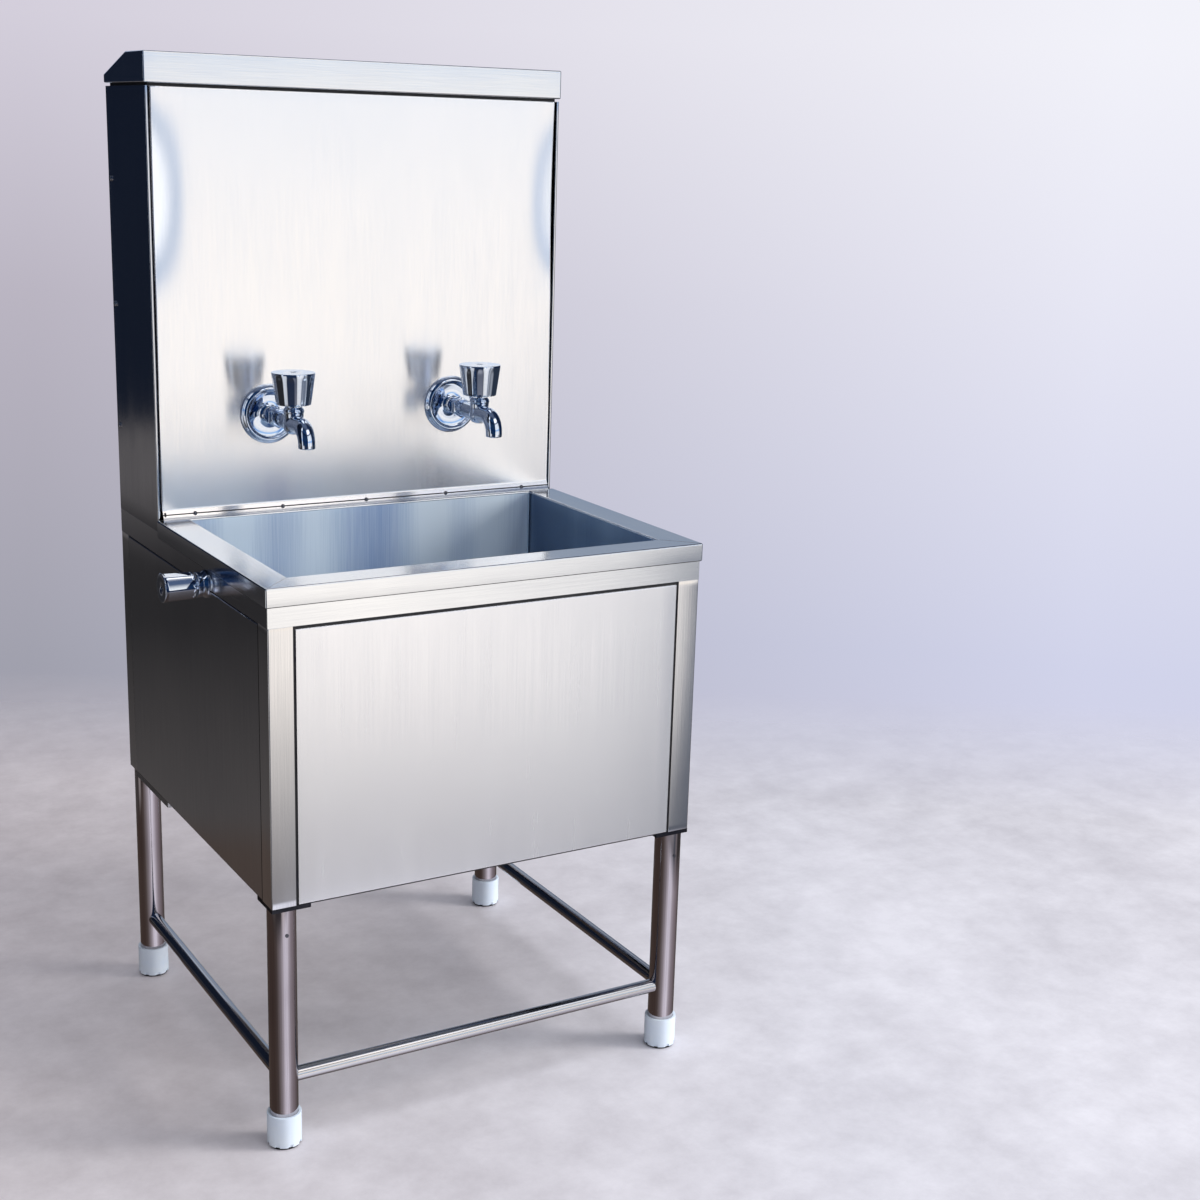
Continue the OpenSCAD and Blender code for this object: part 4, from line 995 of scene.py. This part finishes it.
def makeKnob(name, base, axis, sizes, grips, body, nodeName):
    # a tapered handle whose grips fade out below its rim
    low, top, height, neck, screwRadius = sizes
    profile = [(neck, 0.3 * mm), (low - 1.2 * mm, 0), (low - 0.3 * mm, 0.4 * mm), (low, 1.4 * mm)]
    rows = 18
    profile += [(low + (top - low) * k / rows, 1.4 * mm + (height - 3.4 * mm) * k / rows)
                for k in range(1, rows)]
    profile += arc((top - 1.2 * mm, height - 1.2 * mm), 1.2 * mm, 0, 90, 5)
    profile += [(top * 0.6, height - 0.1 * mm), (screwRadius + 0.8 * mm, height - 0.2 * mm),
                (screwRadius + 0.2 * mm, height - 0.8 * mm), (screwRadius + 0.1 * mm, height - 3 * mm),
                (screwRadius * 0.5, height - 3 * mm)]
    bm = lathe(profile, base, axis, grips["count"] * 14)
    along = Vector(axis).normalized()
    across = Vector((0, -1, 0))
    third = along.cross(across)
    start = Vector(base)
    sector = 2 * math.pi / grips["count"]
    for vert in bm.verts:
        offset = vert.co - start
        h = offset.dot(along)
        outward = offset - along * h
        reach = outward.length
        if reach < low * 0.85 or h > height - 1.5 * mm:
            continue
        angle = math.atan2(outward.dot(third), outward.dot(across)) + grips["turn"]
        local = (angle + math.pi * 4) % sector - sector / 2
        if grips["flat"]:
            depth = reach * max(0, 1 - math.cos(sector / 2) / math.cos(local)) * grips["flat"]
        else:
            depth = grips["depth"] * math.cos(local / sector * math.pi) ** 4
        fade = ease(h / (1.5 * mm)) * ease((height - grips["rim"] - h) / grips["fade"])
        vert.co -= outward.normalized() * depth * fade
    toObject(bm, name, "chromePlate", body, nodeName, sharpAngle=48)


def makeTap(side):
    spot = tapPlaces(side)
    makeFlange(side, spot)
    makeTapTail(side, spot)
    makeTapCasting(side, spot)
    height = spot["knobHigh"] - spot["knobLow"]
    body = moving["tapLeft"] if side == "left" else moving["tapRight"]
    grips = {"count": 10, "turn": 0.15, "flat": 0, "depth": 0.45 * mm, "rim": 2 * mm, "fade": 9 * mm}
    makeKnob("tap_handle_" + side, (spot["x"], spot["valveY"], spot["knobLow"]), (0, 0, 1),
             (spot["knobTop"] - 6 * mm, spot["knobTop"], height, 4.2 * mm, 3.4 * mm), grips, body,
             "tap_knob_" + side)
    bonnet = [(4.2 * mm, -2 * mm), (14.0 * mm, -2 * mm), (14.2 * mm, 0.3 * mm), (13.8 * mm, 1.0 * mm),
              (12.0 * mm, 3.0 * mm), (11.6 * mm, 4.0 * mm), (4.2 * mm, 4.0 * mm), (4.2 * mm, -2 * mm)]
    toObject(lathe(bonnet, (spot["x"], spot["valveY"], spot["bossTop"]), (0, 0, 1), 48),
             "tap_bonnet_" + side, "chromePlate", "station", "tap_cartridge_" + side)
    softCopy("tap_spindle_" + side, "screwSteel", body)
    softCopy("tap_knob_screw_" + side, "rivetSteel", body, 0.2 * mm)


for side in ("left", "right"):
    makeTap(side)
print("taps made")


# Stopcock
def makeStopcock():
    knobLow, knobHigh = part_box("stopcock_knob")
    flangeLow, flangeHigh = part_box("stopcock_flange")
    _, y, z = centreOf("stopcock_flange")
    wall = flangeHigh.x
    reach = flangeHigh.x - flangeLow.x
    profile = [(neckRadius, 0.1 * mm), (18.6 * mm, 0), (19 * mm, 0.6 * mm), (18.6 * mm, 2 * mm),
               (16 * mm, 5 * mm), (15 * mm, reach - 7.4 * mm), (15.4 * mm, reach - 6.8 * mm)]
    profile += [(16.8 * mm, reach - 6.4 * mm), (17 * mm, reach - 5.8 * mm), (17 * mm, reach - 1.2 * mm)]
    profile += arc((16.2 * mm, reach - 0.8 * mm), 0.8 * mm, 0, 90, 4)
    profile += [(12 * mm, reach - 0.2 * mm), (8.6 * mm, reach), (neckRadius, reach - 0.2 * mm),
                (neckRadius, 0.1 * mm)]
    toObject(lathe(profile, (wall, y, z), (-1, 0, 0), 64), "stopcock_rose", "chromePlate", "station",
             "stopcock_flange", sharpAngle=50)
    wide = (knobHigh.y - knobLow.y) / 2
    grips = {"count": 6, "turn": math.radians(3), "flat": 0.9, "depth": 0, "rim": 0.5 * mm, "fade": 2.5 * mm}
    makeKnob("stopcock_handle", (knobHigh.x, y, z), (-1, 0, 0),
             (wide - 1 * mm, wide, knobHigh.x - knobLow.x, 3.2 * mm, 3.4 * mm), grips, moving["stopcock"],
             "stopcock_knob")
    softCopy("stopcock_spindle", "screwSteel", moving["stopcock"])
    softCopy("stopcock_knob_screw", "rivetSteel", moving["stopcock"], 0.2 * mm)
    softCopy("stopcock_body", "chromePlate", "station", 0.3 * mm)


makeStopcock()
print("stopcock made")


# Rivets, screws and the parts that hide behind the sheets
def makeRivets():
    low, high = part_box("seam_rivets")
    rivet = {"count": 5, "radius": 3 * mm, "sunk": 0.6 * mm}
    profile = [(0, -rivet["sunk"]), (rivet["radius"], -rivet["sunk"]), (2.9 * mm, 0.2 * mm),
               (2.2 * mm, 0.9 * mm), (1.0 * mm, 1.2 * mm), (0, 1.2 * mm)]
    start, end = low.x + rivet["radius"], high.x - rivet["radius"]
    y = splashLow.y + cove["depth"] / 2 - rivet["sunk"]
    bm = bmesh.new()
    for k in range(rivet["count"]):
        base = (start + (end - start) * k / (rivet["count"] - 1), y, splashLow.z + cove["rise"] / 2)
        joinInto(bm, lathe(profile, base, (0, -cove["rise"], cove["depth"]), 24))
    toObject(bm, "cove_rivets", "rivetSteel", "station", "seam_rivets", sharpAngle=60)


makeRivets()
shownAsPacked = {
    # the panel straps take the near black steel, painted shade that keeps the gaps dark
    "foot_pads": "blackRubber", "rear_panel": "sideSteel", "panel_straps": "darkSteel",
    # the cap_seal is black, a gasket that also paints the shadow gap under the cap
    "service_tray": "millSteel", "cap_seal": "blackRubber", "splash_back_cover": "sideSteel",
}
for nodeName, material in shownAsPacked.items():
    for place in nodes[nodeName].material_slots:
        place.material = finishes[material]
softParts = {
    "waste_strainer": ("chromePlate", "polished_steel", 0.4 * mm),
    "waste_gasket": ("blackRubber", "seal", 0.3 * mm),
    "waste_nut": ("pipePlastic", "white_plastic", 0.6 * mm),
    "bottle_trap": ("pipePlastic", "white_plastic", 1.2 * mm),
    "waste_pipe": ("pipePlastic", "white_plastic", 0.5 * mm),
    "cover_screws": ("screwSteel", "screw", 0.3 * mm),
    "tap_backnuts": ("brassMetal", "brass", 0.4 * mm),
    "inlet_nipple": ("brassMetal", "brass", 0.4 * mm),
    "inlet_pipe": ("copperMetal", "copper", 0.0),
    "supply_pipe": ("copperMetal", "copper", 0.0),
}
for nodeName, (material, slot, radius) in softParts.items():
    softCopy(nodeName, material, "station", radius)
print("small and hidden parts made")


# Studio: a pale floor and background, two soft lamps, and a painted room that only reflections see
# what shines back from the room, by the compass angle from the front, with a tint by the height looked at
room = {
    "ring": [(-180, (0.30, 0.33, 0.42)), (-177, (0.02, 0.027, 0.045)), (-172, (0.008, 0.012, 0.024)),
             (-88, (0.006, 0.009, 0.018)), (-84, (0.95, 0.98, 1.04)), (-78, (0.95, 0.96, 1.00)),
             (-74, (0.010, 0.030, 0.075)), (-7, (0.012, 0.034, 0.085)), (-1, (1.00, 0.98, 0.96)),
             (3, (1.40, 1.38, 1.35)), (6, (1.40, 1.38, 1.35)), (8, (0.80, 0.85, 0.93)),
             (10, (0.36, 0.46, 0.62)), (12, (0.50, 0.60, 0.76)), (15, (1.15, 1.06, 0.97)),
             (34, (1.15, 1.06, 0.97)), (36, (0.50, 0.58, 0.72)), (39, (0.58, 0.66, 0.80)),
             (42, (1.00, 1.00, 1.00)), (48, (0.95, 0.96, 0.98)), (57, (0.012, 0.022, 0.05)),
             (134, (0.010, 0.020, 0.05)), (144, (0.30, 0.33, 0.39)), (162, (0.34, 0.37, 0.43)),
             (168, (0.55, 0.60, 0.72)), (180, (0.30, 0.33, 0.42))],
    "tint": [(-1.0, (1, 1, 1)), (-0.06, (1, 1, 1)), (0.0, (0.84, 0.90, 0.98)), (0.016, (0.80, 0.87, 0.98)),
             (0.023, (0.96, 0.93, 0.88)), (0.029, (0.80, 0.88, 0.98)), (0.036, (0.93, 0.93, 0.92)),
             (0.05, (0.70, 0.81, 0.97)), (0.09, (0.34, 0.56, 0.94)), (0.14, (0.42, 0.66, 0.99)),
             (0.19, (0.92, 0.98, 1.04)),
             (0.34, (0.97, 1.00, 1.04)), (0.54, (0.92, 0.96, 1.00)), (0.59, (0.08, 0.12, 0.22)),
             (0.64, (0.08, 0.12, 0.22)), (0.68, (1.50, 1.50, 1.52)), (0.84, (1.50, 1.50, 1.52)),
             (0.90, (0.08, 0.12, 0.22)), (1.0, (0.08, 0.12, 0.22))],
    "farFloor": [(-180, (0.16, 0.16, 0.18)), (-172, (0.040, 0.038, 0.040)), (-158, (0.026, 0.025, 0.027)),
                 (-90, (0.026, 0.025, 0.027)), (-82, (0.80, 0.78, 0.78)), (-62, (0.75, 0.73, 0.72)),
                 (-55, (0.018, 0.030, 0.060)), (-8, (0.020, 0.032, 0.065)), (-1, (1.05, 1.00, 0.95)),
                 (18, (1.12, 1.06, 1.01)), (24, (1.00, 0.96, 0.93)), (30, (0.90, 0.87, 0.86)),
                 (34, (0.82, 0.80, 0.80)), (35.6, (0.20, 0.22, 0.27)), (41, (0.22, 0.24, 0.29)),
                 (46, (0.50, 0.50, 0.52)), (58, (0.03, 0.04, 0.06)), (128, (0.03, 0.04, 0.06)),
                 (145, (0.25, 0.26, 0.30)), (180, (0.16, 0.16, 0.18))],
    "nearFloor": [(-180, (0.10, 0.095, 0.095)), (-165, (0.085, 0.078, 0.078)), (-130, (0.080, 0.073, 0.073)),
                  (-122, (0.050, 0.045, 0.045)), (-112, (0.36, 0.34, 0.34)), (-104, (0.36, 0.34, 0.34)),
                  (-97, (0.045, 0.040, 0.040)), (-44, (0.045, 0.040, 0.042)), (-31, (0.045, 0.040, 0.042)),
                  (-25, (0.62, 0.59, 0.62)), (-13, (0.62, 0.59, 0.62)), (-6, (0.12, 0.11, 0.12)),
                  (8, (0.20, 0.20, 0.23)), (30, (0.15, 0.16, 0.20)), (35, (0.09, 0.10, 0.13)),
                  (42, (0.09, 0.10, 0.13)), (49, (0.24, 0.22, 0.24)), (60, (0.06, 0.055, 0.055)),
                  (120, (0.05, 0.045, 0.045)), (150, (0.16, 0.15, 0.15)), (180, (0.10, 0.095, 0.095))],
    "feetFloor": [(-180, (0.083, 0.064, 0.056)), (-126, (0.066, 0.048, 0.042)), (-90, (0.070, 0.052, 0.046)),
                  (-66, (0.105, 0.086, 0.082)), (-48, (0.22, 0.20, 0.21)), (-30, (0.36, 0.34, 0.38)),
                  (-16, (0.60, 0.59, 0.66)), (-2, (0.88, 0.89, 1.02)), (22, (0.92, 0.93, 1.06)),
                  (32, (0.66, 0.65, 0.74)), (52, (0.40, 0.37, 0.42)), (88, (0.23, 0.20, 0.22)),
                  (120, (0.11, 0.095, 0.095)), (180, (0.083, 0.064, 0.056))],
    "overhead": (0.10, 0.13, 0.20), "overheadFrom": 0.88, "overheadTo": 0.97, "groundTop": (-0.34, -0.30),
    "pane": (0.115, 0.108, 0.112), "paneWay": (-0.57, 0.82, 0), "paneReach": (3.1, 4.3),
    "floorRadius": 5.8, "openTo": (0.90, 1.06), "nearToFar": (0.95, 2.5),
}
# what the camera sees behind the station, at the left and at the right, from low to high; darker at the left
# and lower down, painted shade
behind = {
    "left": [(-0.36, (0.62, 0.61, 0.66)), (-0.28, (0.63, 0.63, 0.68)), (-0.09, (0.73, 0.71, 0.76)),
             (0.05, (0.83, 0.81, 0.86)), (0.30, (0.86, 0.85, 0.90))],
    "right": [(-0.36, (0.82, 0.82, 0.90)), (-0.27, (0.82, 0.83, 0.92)), (-0.07, (0.91, 0.91, 0.96)),
              (0.05, (0.95, 0.95, 0.98)), (0.30, (0.95, 0.95, 0.98))],
    "fade": (-0.30, 0.26),
}
softLight = {
    "dim": (0.23, 0.23, 0.25), "bright": (0.80, 0.80, 0.86),
    "way": (0.66, -0.50, 0.56), "fade": (-0.15, 0.75),
}
floorLook = {
    "warm": ((0.62, 0.56, 0.56), (0.82, 0.76, 0.765)), "cool": ((0.61, 0.60, 0.64), (0.80, 0.795, 0.84)),
    "mottle": (0.76, 1.26), "reachAside": 2.9, "reachAway": 1.35, "fade": (0.70, 1.24),
}
pageRight = Vector((math.cos(math.radians(shot["azimuth"])), math.sin(math.radians(shot["azimuth"])), 0))
pageAway = Vector((-pageRight.y, pageRight.x, 0))


def toLinear(colour):
    return tuple(c / 12.92 if c <= 0.04045 else ((c + 0.055) / 1.055) ** 2.4 for c in colour)


def dotWith(tree, vector, fixed):
    made = node(tree, "ShaderNodeVectorMath", operation="DOT_PRODUCT")
    wire(tree, vector, made.inputs[0])
    made.inputs[1].default_value = fixed
    return made.outputs["Value"]


def rampOf(tree, factor, stops):
    made = node(tree, "ShaderNodeValToRGB")
    ramp = made.color_ramp
    while len(ramp.elements) < len(stops):
        ramp.elements.new(0.5)
    for element, (place, colour) in zip(ramp.elements, stops):
        element.position = place
        element.color = (*colour, 1)
    wire(tree, factor, made.inputs["Fac"])
    return made.outputs["Color"]


def compass(tree, vector):
    # 0 to 1 once round, 0.5 at the front of the station
    parts = node(tree, "ShaderNodeSeparateXYZ")
    wire(tree, vector, parts.inputs[0])
    turn = maths(tree, "ARCTAN2", parts.outputs["X"], maths(tree, "MULTIPLY", parts.outputs["Y"], -1.0))
    return maths(tree, "ADD", maths(tree, "DIVIDE", turn, 2 * math.pi), 0.5), parts.outputs["Z"]


def ringRamp(tree, turn, name):
    return rampOf(tree, turn, [(place / 360 + 0.5, colour) for place, colour in room[name]])


def paintedRoom(tree, looked):
    # what reflections see: the ring tinted by height, dark overhead, and the ground below
    turn, height = compass(tree, looked)
    tint = rampOf(tree, spread(tree, height, 0, 1, -1, 1), [((z + 1) / 2, c) for z, c in room["tint"]])
    around = node(tree, "ShaderNodeVectorMath", operation="MULTIPLY")
    wire(tree, ringRamp(tree, turn, "ring"), around.inputs[0])
    wire(tree, tint, around.inputs[1])
    ground = mixColours(tree, spread(tree, height, 0, 1, *room["groundTop"]),
                        ringRamp(tree, turn, "feetFloor"), around.outputs[0])
    above = spread(tree, height, 0, 1, room["overheadFrom"], room["overheadTo"])
    return mixColours(tree, above, ground, room["overhead"])


def backdrop(tree, looked):
    low, high = behind["left"][0][0], behind["left"][-1][0]
    _, height = compass(tree, looked)
    share = spread(tree, height, 0, 1, low, high)
    sides = [rampOf(tree, share, [((z - low) / (high - low), toLinear(c)) for z, c in behind[side]])
             for side in ("left", "right")]
    across = spread(tree, dotWith(tree, looked, pageRight), 0, 1, *behind["fade"])
    return mixColours(tree, across, *sides)


def makeWorld():
    world = bpy.data.worlds.new("studio")
    world.use_nodes = True
    bpy.context.scene.world = world
    tree = world.node_tree
    looked = node(tree, "ShaderNodeTexCoord").outputs["Generated"]
    painted = tree.nodes["Background"]
    wire(tree, paintedRoom(tree, looked), painted.inputs["Color"])
    shown = node(tree, "ShaderNodeBackground")
    wire(tree, backdrop(tree, looked), shown.inputs["Color"])
    # the soft light of the room is stronger from the front right
    plain = node(tree, "ShaderNodeBackground")
    side = spread(tree, dotWith(tree, looked, softLight["way"]), 0, 1, *softLight["fade"])
    wire(tree, mixColours(tree, side, softLight["dim"], softLight["bright"]), plain.inputs["Color"])
    path = node(tree, "ShaderNodeLightPath")
    mirror = mixShaders(tree, path.outputs["Is Glossy Ray"], plain.outputs[0], painted.outputs[0])
    seen = mixShaders(tree, path.outputs["Is Camera Ray"], mirror, shown.outputs[0])
    wire(tree, seen, tree.nodes["World Output"].inputs[0])


def floorColour(tree, spot):
    cloud = stretchedNoise(tree, 1.6, (1, 1, 1), detail=7.0, roughness=0.62)
    fleck = stretchedNoise(tree, 11.0, (1, 1, 1), detail=8.0, roughness=0.72, offset=(3, 1, 0))
    mottle = spread(tree, maths(tree, "ADD", cloud, fleck), 0, 1, *floorLook["mottle"])
    warm = mixColours(tree, mottle, *floorLook["warm"])
    cool = mixColours(tree, mottle, *floorLook["cool"])
    return mixColours(tree, spread(tree, dotWith(tree, spot, pageRight), 0, 1, -0.7, 0.7), warm, cool)


def fourthPower(tree, spot, way, reach):
    share = maths(tree, "DIVIDE", dotWith(tree, spot, way), reach)
    return maths(tree, "POWER", maths(tree, "ABSOLUTE", share), 4)


def floorFade(tree, spot):
    # the far floor fades into the background, over a rounded rectangle
    aside = fourthPower(tree, spot, pageRight, floorLook["reachAside"])
    away = fourthPower(tree, spot, pageAway, floorLook["reachAway"])
    edge = maths(tree, "POWER", maths(tree, "ADD", aside, away), 0.25)
    return spread(tree, edge, 0, 1, *floorLook["fade"])


def paintedFloor(tree, spot, distance):
    # what reflections see of the floor, darker near the station, with a paler pane behind, to the left
    turn, _ = compass(tree, spot)
    away = spread(tree, distance, 0, 1, *room["nearToFar"])
    rings = mixColours(tree, away, ringRamp(tree, turn, "nearFloor"), ringRamp(tree, turn, "farFloor"))
    pane = spread(tree, dotWith(tree, spot, room["paneWay"]), 0, 1, *room["paneReach"])
    return mixColours(tree, pane, rings, room["pane"])


def makeFloor():
    bm = bmesh.new()
    bmesh.ops.create_circle(bm, cap_ends=True, segments=128, radius=room["floorRadius"])
    mesh = bpy.data.meshes.new("floor")
    bm.to_mesh(mesh)
    bm.free()
    floor = bpy.data.objects.new("floor", mesh)
    bpy.context.scene.collection.objects.link(floor)
    material, tree, shader = newMaterial("paleFloor")
    spot = node(tree, "ShaderNodeTexCoord").outputs["Object"]
    wire(tree, floorColour(tree, spot), shader.inputs["Base Color"])
    shader.inputs["Roughness"].default_value = 0.34
    shader.inputs["Specular IOR Level"].default_value = 0.30
    clear = node(tree, "ShaderNodeBsdfTransparent").outputs[0]
    shown = mixShaders(tree, floorFade(tree, spot), shader.outputs[0], clear)
    length = node(tree, "ShaderNodeVectorMath", operation="LENGTH")
    wire(tree, spot, length.inputs[0])
    distance = length.outputs["Value"]
    glow = node(tree, "ShaderNodeEmission", Strength=1.0)
    wire(tree, paintedFloor(tree, spot, distance), glow.inputs["Color"])
    # close by, reflections pass through to the painted ground of the room
    mirrored = mixShaders(tree, spread(tree, distance, 0, 1, *room["openTo"]), clear, glow.outputs[0])
    path = node(tree, "ShaderNodeLightPath")
    wire(tree, mixShaders(tree, path.outputs["Is Glossy Ray"], shown, mirrored),
         tree.nodes["Material Output"].inputs[0])
    mesh.materials.append(material)


def makeLamp(name, spot, aim, size, colour, power):
    data = bpy.data.lights.new(name, "AREA")
    data.shape = "RECTANGLE"
    data.size, data.size_y = size
    data.color = colour
    data.energy = power
    lamp = bpy.data.objects.new(name, data)
    bpy.context.scene.collection.objects.link(lamp)
    lamp.location = spot
    lamp.rotation_mode = "QUATERNION"
    lamp.rotation_quaternion = (Vector(aim) - Vector(spot)).to_track_quat("-Z", "Z")
    lamp.visible_camera = False
    lamp.visible_glossy = False


makeFloor()
makeWorld()
makeLamp("keyLamp", (5.4, -3.5, 2.7), (0.0, 0.0, 0.3), (2.4, 2.0), (1.0, 0.97, 0.95), 330)
makeLamp("topLamp", (0.9, -1.5, 3.2), (0.2, 0.0, 0.3), (2.0, 2.0), (0.90, 0.94, 1.0), 30)
print("studio made")
